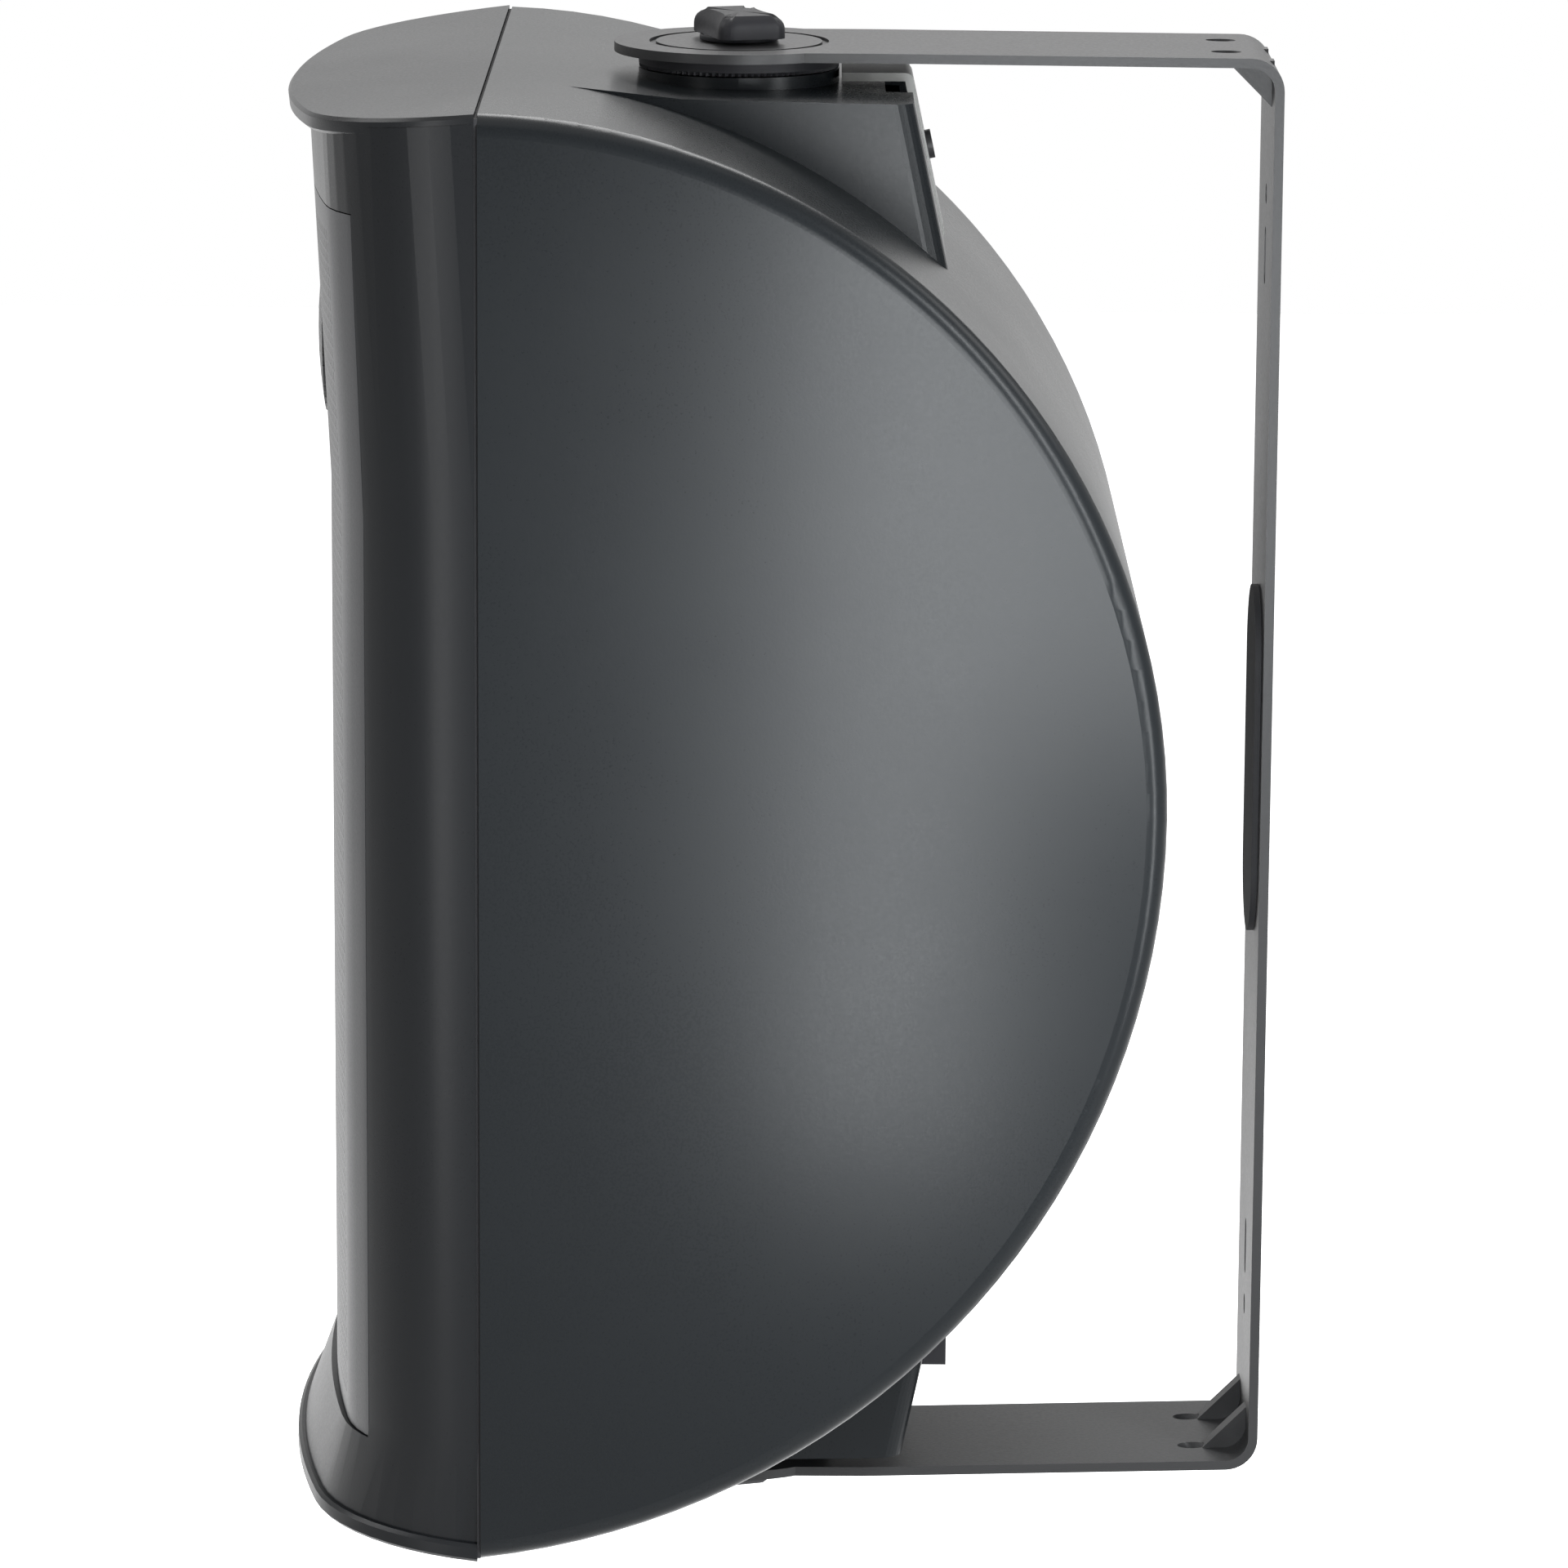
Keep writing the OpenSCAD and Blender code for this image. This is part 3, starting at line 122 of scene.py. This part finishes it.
class Paint:
    """A material on one Principled shader, with its own nodes."""

    def __init__(self, name, **constants):
        self.material = bpy.data.materials.new(name)
        self.material.use_nodes = True
        self.tree = self.material.node_tree
        self.shader = self.tree.nodes["Principled BSDF"]
        for socket, value in constants.items():
            self.shader.inputs[socket.replace("_", " ")].default_value = value
        self.place = self.add("ShaderNodeTexCoord", out="Object")

    def add(self, kind, settings=None, *values, out=0, **named):
        """A node of that type with its settings and sockets; gives back one of its outputs."""
        node = self.tree.nodes.new(kind)
        for key, value in (settings or {}).items():
            setattr(node, key, value)
        sockets = list(enumerate(values)) + [(key.replace("_", " "), value) for key, value in named.items()]
        for key, value in sockets:
            if isinstance(value, Val):
                self.tree.links.new(value.socket, node.inputs[key])
            else:
                node.inputs[key].default_value = value
        return Val(self, node.outputs[out])

    def noise(self, scale, detail=2.0, roughness=0.5, place=None):
        return self.add("ShaderNodeTexNoise", None, Vector=place or self.place,
                        Scale=scale, Detail=detail, Roughness=roughness)

    def axes(self):
        """Object X, Y and Z in metres."""
        return [self.add("ShaderNodeSeparateXYZ", None, self.place, out=i) for i in range(3)]

    def stretched(self, x, y, z):
        return self.add("ShaderNodeVectorMath", {"operation": "MULTIPLY"}, self.place, (x, y, z))

    def mix(self, amount, first, second):
        """A colour between two, by a value from 0 to 1."""
        node = self.tree.nodes.new("ShaderNodeMix")
        node.data_type = "RGBA"
        self.tree.links.new(amount.socket, node.inputs[0])
        for key, colour in ((6, first), (7, second)):
            if isinstance(colour, Val):
                self.tree.links.new(colour.socket, node.inputs[key])
            else:
                node.inputs[key].default_value = (*colour, 1)
        return Val(self, node.outputs[2])

    def set(self, **named):
        for key, value in named.items():
            self.tree.links.new(value.socket, self.shader.inputs[key.replace("_", " ")])

    def bump(self, height, distance, strength=1.0, below=None):
        extra = {} if below is None else {"Normal": below}
        return self.add("ShaderNodeBump", None, Strength=strength, Distance=distance, Height=height, **extra)


def shade(colour, factor):
    return tuple(c * factor for c in colour)


def moulded(name, colour, rough=0.5, grain=1400, depth=0.00006, patchy=0.12, **constants):
    """Moulded plastic or coated metal: fine pebble grain, slow drift in tone, faint rubbed spots."""
    paint = Paint(name, **constants)
    pebble = paint.noise(grain, 3, 0.55)
    drift = paint.noise(9, 3, 0.6)
    dust = paint.noise(160, 4, 0.7).ramp(0.55, 0.8)
    paint.set(Base_Color=paint.mix(drift + dust * 0.25, shade(colour, 1 - patchy), shade(colour, 1 + patchy)),
              Roughness=drift * 0.1 + pebble * 0.12 + (rough - 0.11),
              Normal=paint.bump(pebble, depth, 0.6))
    return paint


def fibrous(name, colour, rough=0.9, scale=500, depth=0.0004, **constants):
    """Foam, wadding or paper: soft clumps under short fibres."""
    paint = Paint(name, **constants)
    clump = paint.noise(scale / 6, 4, 0.6)
    hair = paint.noise(scale, 5, 0.75)
    paint.set(Base_Color=paint.mix(clump * 0.6 + hair * 0.4, shade(colour, 0.6), shade(colour, 1.3)),
              Roughness=hair * 0.1 + (rough - 0.05),
              Normal=paint.bump(clump + hair * 0.5, depth, 0.7))
    return paint


def turned(name, colour, rough=0.32, scale=(60, 60, 60), **constants):
    """Bare metal with fine tool marks and small stains."""
    paint = Paint(name, Metallic=1.0, **constants)
    marks = paint.noise(40, 3, 0.7, paint.stretched(*scale))
    stain = paint.noise(120, 4, 0.65)
    paint.set(Base_Color=paint.mix(stain, shade(colour, 0.82), shade(colour, 1.12)),
              Roughness=stain * 0.18 + marks * 0.12 + (rough - 0.15),
              Normal=paint.bump(marks, 0.00002, 0.5))
    return paint


def wound(name, colour, pitch, axis, rough=0.35, **constants):
    """Enamelled wire wound in turns along one axis, with painted shade in the grooves between turns."""
    paint = Paint(name, **constants)
    along = paint.axes()[axis]
    turn = (along * (math.tau / pitch)).math("SINE")
    tint = paint.noise(300, 3)
    # Painted shade: darker in the grooves between turns and lighter on their crowns, mixed with a random tint
    groove_shade_and_tint = turn.ramp(-1, 0.6) * 0.7 + tint * 0.3
    paint.set(Base_Color=paint.mix(groove_shade_and_tint, shade(colour, 0.35), shade(colour, 1.2)),
              Roughness=tint * 0.2 + rough,
              Normal=paint.bump(turn, pitch * 0.4, 0.8))
    return paint


# Spacing of the staggered rows over the pitch, and where the holes end: half widths and half heights
ROW_STEP = 1.732
HOLES_X = (0.0785, 0.0788)
HOLES_Z = (0.1395, 0.1398)
# Painted shade: the holes get this near-black colour in place of the dark inside that real holes would show
HOLE_SHADE_COLOUR = (0.002, 0.002, 0.002)


def perforated(name, colour, pitch=0.0032, hole=0.0011):
    """Powder-coated steel with staggered round holes over the part of it that covers the drivers, the holes
    painted as near-black dots of painted shade with a bump.
    """
    paint = Paint(name, Specular_IOR_Level=0.25)
    x, _, z = paint.axes()
    rows = []
    for shift in (0.0, 0.5):
        across = ((x / pitch + (shift + 100)).math("FRACT") - 0.5) * pitch
        upward = ((z / (pitch * ROW_STEP) + (shift + 100)).math("FRACT") - 0.5) * (pitch * ROW_STEP)
        rows.append((across * across + upward * upward).math("SQRT"))
    away = rows[0].math("MINIMUM", rows[1])
    metal = away.ramp(hole * 0.82, hole * 1.1)
    inside = x.math("ABSOLUTE").ramp(*HOLES_X, 1, 0) * z.math("ABSOLUTE").ramp(*HOLES_Z, 1, 0)
    metal = metal.math("MAXIMUM", 1 - inside)
    pebble = paint.noise(1500, 3, 0.55)
    drift = paint.noise(12, 3)
    # Base colour: the steel's colour on the metal, painted shade in the holes
    paint.set(Base_Color=paint.mix(metal, HOLE_SHADE_COLOUR, colour),
              Roughness=pebble * 0.12 + drift * 0.12 + 0.26,
              Normal=paint.bump(pebble, 0.00005, 0.5, paint.bump(metal, 0.0007, 0.9)))
    return paint


def striped(name, sleeve, stripe):
    """Insulated wire, with a paler tone along its run."""
    paint = Paint(name)
    along = paint.noise(26, 2)
    scuff = paint.noise(700, 4, 0.7)
    paint.set(Base_Color=paint.mix(along.ramp(0.45, 0.55) * 0.8 + scuff * 0.2, sleeve, stripe),
              Roughness=scuff * 0.25 + 0.35,
              Normal=paint.bump(scuff, 0.00006, 0.6))
    return paint


def woven(name, colour, pitch, rough=0.75, depth=0.00025):
    """Cloth of crossing threads, with painted shade where the weave dips."""
    paint = Paint(name)
    x, _, z = paint.axes()
    warp = (x * (math.tau / pitch)).math("SINE")
    weft = (z * (math.tau / pitch)).math("SINE")
    weave = warp * weft * 0.5 + 0.5
    fuzz = paint.noise(1200, 4, 0.7)
    # Painted shade: darker where the weave dips between threads and lighter where it rises, mixed with random
    # fuzz
    paint.set(Base_Color=paint.mix(weave * 0.7 + fuzz * 0.3, shade(colour, 0.6), shade(colour, 1.25)),
              Roughness=fuzz * 0.15 + (rough - 0.08),
              Normal=paint.bump(weave + fuzz * 0.3, depth, 0.8))
    return paint


# Spacing of the copper tracks, and of the breaks along them
TRACK_STEP = 0.009
TRACK_BREAK = 0.05


def board(name):
    """Solder mask with paler copper tracks showing under it."""
    paint = Paint(name)
    x, _, z = paint.axes()
    tracks = (z * (math.tau / TRACK_STEP)).math("SINE").ramp(0.1, 0.3)
    breaks = (x * (math.tau / TRACK_BREAK)).math("SINE").ramp(-0.6, -0.4)
    lanes = tracks * breaks
    grain = paint.noise(600, 3)
    paint.set(Base_Color=paint.mix(lanes, (0.02, 0.09, 0.04), (0.05, 0.19, 0.09)),
              Roughness=grain * 0.15 + 0.25,
              Normal=paint.bump(lanes + grain * 0.1, 0.00005, 0.8))
    return paint


# For each slot of the record: its kind of surface, colour, roughness, grain scale and depth
PAINTS = {
    "cabinet_plastic": moulded("cabinet_plastic", (0.0043, 0.0051, 0.0058), 0.29, 1500, 0.00002,
                               Specular_IOR_Level=0.1),
    "baffle_plastic": moulded("baffle_plastic", (0.0045, 0.005, 0.0057), 0.3, 1500, 0.00002,
                              Specular_IOR_Level=0.1),
    "black_plastic": moulded("black_plastic", (0.0105, 0.0105, 0.012), 0.5, 1200, 0.00004,
                             Specular_IOR_Level=0.1),
    "bracket_paint": moulded("bracket_paint", (0.015, 0.015, 0.0155), 0.4, 1100, 0.00005,
                             Specular_IOR_Level=0.15),
    "grille_paint": perforated("grille_paint", (0.014, 0.0145, 0.016)),
    "seal_rubber": moulded("seal_rubber", (0.011, 0.011, 0.012), 0.75, 700, 0.0001, Specular_IOR_Level=0.15),
    "roll_rubber": moulded("roll_rubber", (0.02, 0.02, 0.021), 0.6, 900, 0.00005),
    "foam": fibrous("foam", (0.012, 0.012, 0.013), 0.95, 900, 0.0006),
    "steel": turned("steel", (0.5, 0.51, 0.52)),
    "tab_steel": moulded("tab_steel", (0.11, 0.11, 0.105), 0.42, 900, 0.00005, Specular_IOR_Level=0.3),
    "brass": turned("brass", (0.62, 0.46, 0.2), 0.3),
    "ferrite": fibrous("ferrite", (0.06, 0.06, 0.064), 0.7, 1500, 0.00008),
    "cone_paper": fibrous("cone_paper", (0.03, 0.031, 0.034), 0.7, 1100, 0.00015, Specular_IOR_Level=0.2),
    "cap_paper": fibrous("cap_paper", (0.02, 0.02, 0.022), 0.6, 1300, 0.0001),
    "spider_cloth": woven("spider_cloth", (0.46, 0.34, 0.11), 0.0012),
    "former": moulded("former", (0.42, 0.26, 0.1), 0.35, 800, 0.00003),
    "copper": wound("copper", (0.55, 0.2, 0.07), 0.0009, 1, Metallic=0.8),
    "dome_cloth": woven("dome_cloth", (0.045, 0.04, 0.036), 0.0006, 0.6, 0.00006),
    "board": board("board"),
    "film_blue": moulded("film_blue", (0.025, 0.06, 0.2), 0.25, 500, 0.00003),
    "white_ceramic": fibrous("white_ceramic", (0.62, 0.6, 0.54), 0.75, 900, 0.0001),
    "red_plastic": moulded("red_plastic", (0.38, 0.015, 0.015), 0.32, 800, 0.00003),
    "wire_sleeve": striped("wire_sleeve", (0.02, 0.018, 0.018), (0.24, 0.02, 0.02)),
    "wadding": fibrous("wadding", (0.62, 0.61, 0.57), 0.97, 260, 0.002),
}


def dress(obj, slot):
    """Gives an object the material of one of the record's slots."""
    obj.data.materials.clear()
    obj.data.materials.append(PAINTS[slot].material)


for part in frame["record"]["subparts"]:
    dress(nodes[part["node"]], part["material_slot"])
dress(nodes["tab_screw"], "bracket_paint")


MM = 0.001
# Where the knobs' axis lies, and the sizes of a knob above its foot's plane
AXIS_Y = -129.5 * MM
KNOB_H = 6.8 * MM
KNOB_TURN = math.radians(18)
FOOT_R = 9.5 * MM
FOOT_T = 1.4 * MM
BAR = (25.5 * MM, 16.6 * MM, 5.6 * MM)
BAR_MIDDLE = 4 * MM
# The bar narrows above each of these heights in mm, by these factors along and across it
BAR_TAPERS = ((4.9, 0.975, 0.93), (6.6, 0.88, 0.8))
STUD_R = 4 * MM
THREAD_PITCH = 1.25 * MM
THREAD_CORE = 0.87
# How far the stud reaches into the foot, at one end, and past its solid at the other
STUD_LAP = 0.3 * MM
# The wadding: how much smaller than its solid, and the size and height of its lumps
BATT_INSET = 4 * MM
LUMP_SIZE = 0.035
LUMP_HEIGHT = 4 * MM


def deselect():
    bpy.ops.object.select_all(action="DESELECT")


def pick(test, kind="faces"):
    """Selects, in edit mode, the faces, edges or vertices that pass the test."""
    bpy.ops.mesh.select_all(action="DESELECT")
    bpy.ops.mesh.select_mode(type={"faces": "FACE", "edges": "EDGE", "verts": "VERT"}[kind])
    data = bpy.context.edit_object.data
    mesh = bmesh.from_edit_mesh(data)
    for item in getattr(mesh, kind):
        item.select_set(bool(test(item)))
    mesh.select_flush_mode()
    bmesh.update_edit_mesh(data)


def apply_modifiers(obj, modifiers):
    """Adds modifiers to the active object, each a type with its settings, and applies them in order."""
    for kind, settings in modifiers:
        modifier = obj.modifiers.new(kind.title(), kind)
        for key, value in settings.items():
            setattr(modifier, key, value)
        bpy.ops.object.modifier_apply(modifier=modifier.name)


def finish_piece(name, slot, body, angle=35, modifiers=()):
    """Applies the modifiers and the place of the active object and hands it to its body."""
    obj = bpy.context.object
    if obj.mode != "OBJECT":
        bpy.ops.object.mode_set(mode="OBJECT")
    obj.name = name
    apply_modifiers(obj, modifiers)
    bpy.ops.object.transform_apply(location=True, rotation=True, scale=True)
    bpy.ops.object.mode_set(mode="EDIT")
    bpy.ops.mesh.select_all(action="SELECT")
    bpy.ops.mesh.remove_doubles(threshold=1e-6)
    bpy.ops.mesh.normals_make_consistent(inside=False)
    bpy.ops.object.mode_set(mode="OBJECT")
    bpy.ops.object.shade_smooth_by_angle(angle=math.radians(angle))
    dress(obj, slot)
    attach(obj, body)
    return obj


def join(*parts):
    """Makes one object of several, the first one active."""
    deselect()
    for part in parts:
        part.select_set(True)
    bpy.context.view_layer.objects.active = parts[0]
    bpy.ops.object.join()


def smoothed(node, body, slot, angle=24):
    """A merged copy of a CAD node, so that its curved walls shade as one surface, in the node's place."""
    copy = bpy.data.objects.new(node + "_smooth", nodes[node].data.copy())
    scene.collection.objects.link(copy)
    deselect()
    bpy.context.view_layer.objects.active = copy
    copy.select_set(True)
    bpy.ops.mesh.customdata_custom_splitnormals_clear()
    piece = finish_piece(node + "_smooth", slot, body, angle)
    apply_modifiers(piece, (("WEIGHTED_NORMAL", {"keep_sharp": True}),))
    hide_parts(node)


for curved, its_body, its_slot in (("front_baffle", "cabinet", "baffle_plastic"),
                                   ("grille", "cabinet", "grille_paint"),
                                   ("bracket", "bracket", "bracket_paint")):
    smoothed(curved, its_body, its_slot)


def knob_foot(foot):
    """A round plate with softened edges, standing on the plane at that height."""
    deselect()
    bpy.ops.mesh.primitive_cylinder_add(vertices=120, radius=FOOT_R, depth=FOOT_T,
                                        location=(0, AXIS_Y, foot + FOOT_T / 2))
    plate = bpy.context.object
    bpy.ops.object.mode_set(mode="EDIT")
    pick(lambda face: abs(face.normal.z) > 0.9)
    bpy.ops.mesh.inset(thickness=0.6 * MM, use_individual=True)
    pick(lambda edge: abs(edge.verts[0].co.z - edge.verts[1].co.z) < 1e-6, "edges")
    bpy.ops.mesh.bevel(offset=0.35 * MM, segments=3, affect="EDGES")
    bpy.ops.object.mode_set(mode="OBJECT")
    return plate


def knob_bar(foot):
    """A softly tapered bar, pinched at the middle of both sides and turned on the foot."""
    deselect()
    bpy.ops.mesh.primitive_cube_add(size=1, location=(0, AXIS_Y, foot + BAR_MIDDLE), scale=BAR)
    bar = bpy.context.object
    bpy.ops.object.transform_apply(location=True, rotation=True, scale=True)
    bpy.ops.object.mode_set(mode="EDIT")
    pick(lambda edge: abs(edge.verts[0].co.z - edge.verts[1].co.z) > 2 * MM, "edges")
    bpy.ops.mesh.bevel(offset=3.2 * MM, segments=5, affect="EDGES")
    bpy.ops.mesh.select_all(action="SELECT")
    bpy.ops.mesh.subdivide(number_cuts=3)
    middle = (0, AXIS_Y, foot)
    for rise, along, across in BAR_TAPERS:
        pick(lambda v: v.co.z > foot + rise * MM, "verts")
        bpy.ops.transform.resize(value=(along, across, 1), center_override=middle)
    for side in (-1, 1):
        pick(lambda v: side * (v.co.y - AXIS_Y) > 5 * MM and abs(v.co.x) < 5 * MM
             and v.co.z > foot + 1.8 * MM, "verts")
        bpy.ops.transform.translate(value=(0, -side * 0.9 * MM, 0))
    bpy.ops.mesh.select_all(action="SELECT")
    bpy.ops.transform.rotate(value=-KNOB_TURN, orient_axis="Z", center_override=middle)
    bpy.ops.object.mode_set(mode="OBJECT")
    apply_modifiers(bar, (("BEVEL", {"width": 0.8 * MM, "segments": 3, "angle_limit": math.radians(40)}),
                          ("SUBSURF", {"levels": 1, "render_levels": 1})))
    return bar


def knob_stud(foot, length, sign):
    """A stud with round grooves for its thread, from inside the foot down its axis; left in edit mode."""
    deselect()
    bpy.ops.mesh.primitive_cylinder_add(vertices=40, radius=STUD_R, depth=length,
                                        location=(0, AXIS_Y, sign * (foot + STUD_LAP - length / 2)))
    stud = bpy.context.object
    bpy.ops.object.transform_apply(location=True, rotation=True, scale=True)
    bpy.ops.object.mode_set(mode="EDIT")
    start = min(v.co.z for v in bmesh.from_edit_mesh(stud.data).verts)
    cuts = 2 * int(length / THREAD_PITCH)
    for i in range(1, cuts):
        bpy.ops.mesh.select_all(action="SELECT")
        bpy.ops.mesh.bisect(plane_co=(0, AXIS_Y, start + i * length / cuts), plane_no=(0, 0, 1))
        if i % 2:
            bpy.ops.transform.resize(value=(THREAD_CORE, THREAD_CORE, 1), center_override=(0, AXIS_Y, 0))


def finger_knob(node, sign):
    """A knob for the top, or mirrored for the bottom: foot and bar as one grip, and its stud."""
    low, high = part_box(node)
    foot = (high.z if sign > 0 else -low.z) - KNOB_H
    base = knob_foot(foot)
    join(base, knob_bar(foot))
    if sign < 0:
        bpy.ops.object.mode_set(mode="EDIT")
        bpy.ops.mesh.select_all(action="SELECT")
        bpy.ops.transform.resize(value=(1, 1, -1), center_override=(0, 0, 0))
        bpy.ops.object.mode_set(mode="OBJECT")
    grip = finish_piece(node + "_grip", "black_plastic", node, 40)
    knob_stud(foot, (foot - (low.z if sign > 0 else -high.z)) + 2 * STUD_LAP, sign)
    finish_piece(node + "_stud", "steel", node, 20)
    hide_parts(node)


for knob_node, up in (("top_knob", 1), ("bottom_knob", -1)):
    finger_knob(knob_node, up)


def wadding():
    """A batt of polyester wadding: a box of its size, rounded and pressed into soft lumps."""
    low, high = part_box("damping_wadding")
    deselect()
    bpy.ops.mesh.primitive_cube_add(size=1, location=(low + high) / 2,
                                    scale=high - low - Vector((BATT_INSET, BATT_INSET, BATT_INSET)))
    bpy.ops.object.transform_apply(location=True, rotation=True, scale=True)
    bpy.ops.object.mode_set(mode="EDIT")
    bpy.ops.mesh.select_all(action="SELECT")
    bpy.ops.mesh.bevel(offset=9 * MM, segments=3, affect="EDGES")
    bpy.ops.mesh.select_all(action="SELECT")
    bpy.ops.mesh.subdivide(number_cuts=5)
    lumps = bpy.data.textures.new("lumps", "CLOUDS")
    lumps.noise_scale = LUMP_SIZE
    displace = {"texture": lumps, "texture_coords": "GLOBAL", "strength": LUMP_HEIGHT, "mid_level": 0.5}
    batt = finish_piece("damping_batt", "wadding", "cabinet", 60, (("DISPLACE", displace),))
    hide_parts("damping_wadding")


wadding()


def background_rays(tree):
    """1 for rays from the camera, from gloss and through glass; 0 for the light that falls on things."""
    path = tree.nodes.new("ShaderNodeLightPath")
    total = path.outputs["Is Camera Ray"]
    for name in ("Is Glossy Ray", "Is Transmission Ray"):
        both = tree.nodes.new("ShaderNodeMath")
        both.operation = "MAXIMUM"
        tree.links.new(total, both.inputs[0])
        tree.links.new(path.outputs[name], both.inputs[1])
        total = both.outputs[0]
    return total


def whitened(material, lift):
    """A plain surface that the background's rays see as white, apart from the shadow on it."""
    tree = material.node_tree
    out = next(n for n in tree.nodes if n.type == "OUTPUT_MATERIAL")
    glow = tree.nodes.new("ShaderNodeEmission")
    glow.inputs["Strength"].default_value = lift
    add = tree.nodes.new("ShaderNodeAddShader")
    mix = tree.nodes.new("ShaderNodeMixShader")
    plain = tree.nodes["Principled BSDF"].outputs[0]
    tree.links.new(plain, add.inputs[0])
    tree.links.new(glow.outputs[0], add.inputs[1])
    tree.links.new(background_rays(tree), mix.inputs[0])
    tree.links.new(plain, mix.inputs[1])
    tree.links.new(add.outputs[0], mix.inputs[2])
    tree.links.new(mix.outputs[0], out.inputs["Surface"])


bpy.ops.mesh.primitive_plane_add(size=8, location=(0, 0, -0.5))
floor = bpy.context.object
floor.name = "floor"
floor_paint = moulded("floor_paint", (0.8, 0.8, 0.8), 0.8, 60, 0.0002, 0.02)
whitened(floor_paint.material, 1.0)
floor.data.materials.append(floor_paint.material)


def world(level):
    """White behind the object; a plain even level for everything that it lights."""
    scene.world = bpy.data.worlds.new("studio")
    scene.world.use_nodes = True
    tree = scene.world.node_tree
    back = tree.nodes["Background"]
    white = tree.nodes.new("ShaderNodeBackground")
    mix = tree.nodes.new("ShaderNodeMixShader")
    out = tree.nodes["World Output"]
    back.inputs[0].default_value = (level, level, level * 1.02, 1)
    white.inputs[0].default_value = (1, 1, 1, 1)
    tree.links.new(background_rays(tree), mix.inputs[0])
    tree.links.new(back.outputs[0], mix.inputs[1])
    tree.links.new(white.outputs[0], mix.inputs[2])
    tree.links.new(mix.outputs[0], out.inputs[0])


world(0.25)


def lamp(name, place, aim, size, power, tint=(1, 1, 1)):
    """A soft rectangular lamp aimed at a point."""
    bpy.ops.object.light_add(type="AREA", location=place)
    light = bpy.context.object
    light.name = name
    light.data.shape = "RECTANGLE"
    light.data.size, light.data.size_y = size
    light.data.energy = power
    light.data.color = tint
    light.visible_camera = False
    light.rotation_euler = (Vector(aim) - Vector(place)).to_track_quat("-Z", "Y").to_euler()


COOL = (0.95, 0.98, 1.0)
# Name, place, aim, size in metres, power in watts, tint
LAMPS = (
    ("key", (0.75, 0.95, 0.8), (0, -0.03, 0.08), (0.35, 0.7), 3, (0.97, 0.985, 1.0)),
    ("top", (0.1, -0.2, 1.6), (0, -0.1, 0), (1.4, 1.4), 10),
    ("front_fill", (0.9, -1.0, 0.1), (0.05, -0.18, 0), (0.3, 1.0), 8),
    ("left_fill", (-1.2, 0.1, 1.35), (0, -0.1, 0), (0.8, 0.8), 16),
    ("back_fill", (-0.3, 1.4, 1.2), (0, 0, 0), (0.8, 0.8), 10),
    ("face_fill", (-0.3, -1.4, 1.2), (0, -0.2, 0), (0.8, 0.8), 14),
    ("rear_edge", (0.55, 0.45, 0.15), (0.1, -0.05, 0.05), (0.1, 0.9), 12, COOL),
    ("strip", (0.36, -0.09, 0.0), (0.11, -0.09, 0.0), (0.045, 0.28), 1.5, COOL),
    ("strip_spread", (0.36, -0.02, 0.07), (0.11, -0.02, 0.07), (0.1, 0.18), 1.4, COOL),
)
for each in LAMPS:
    lamp(*each)
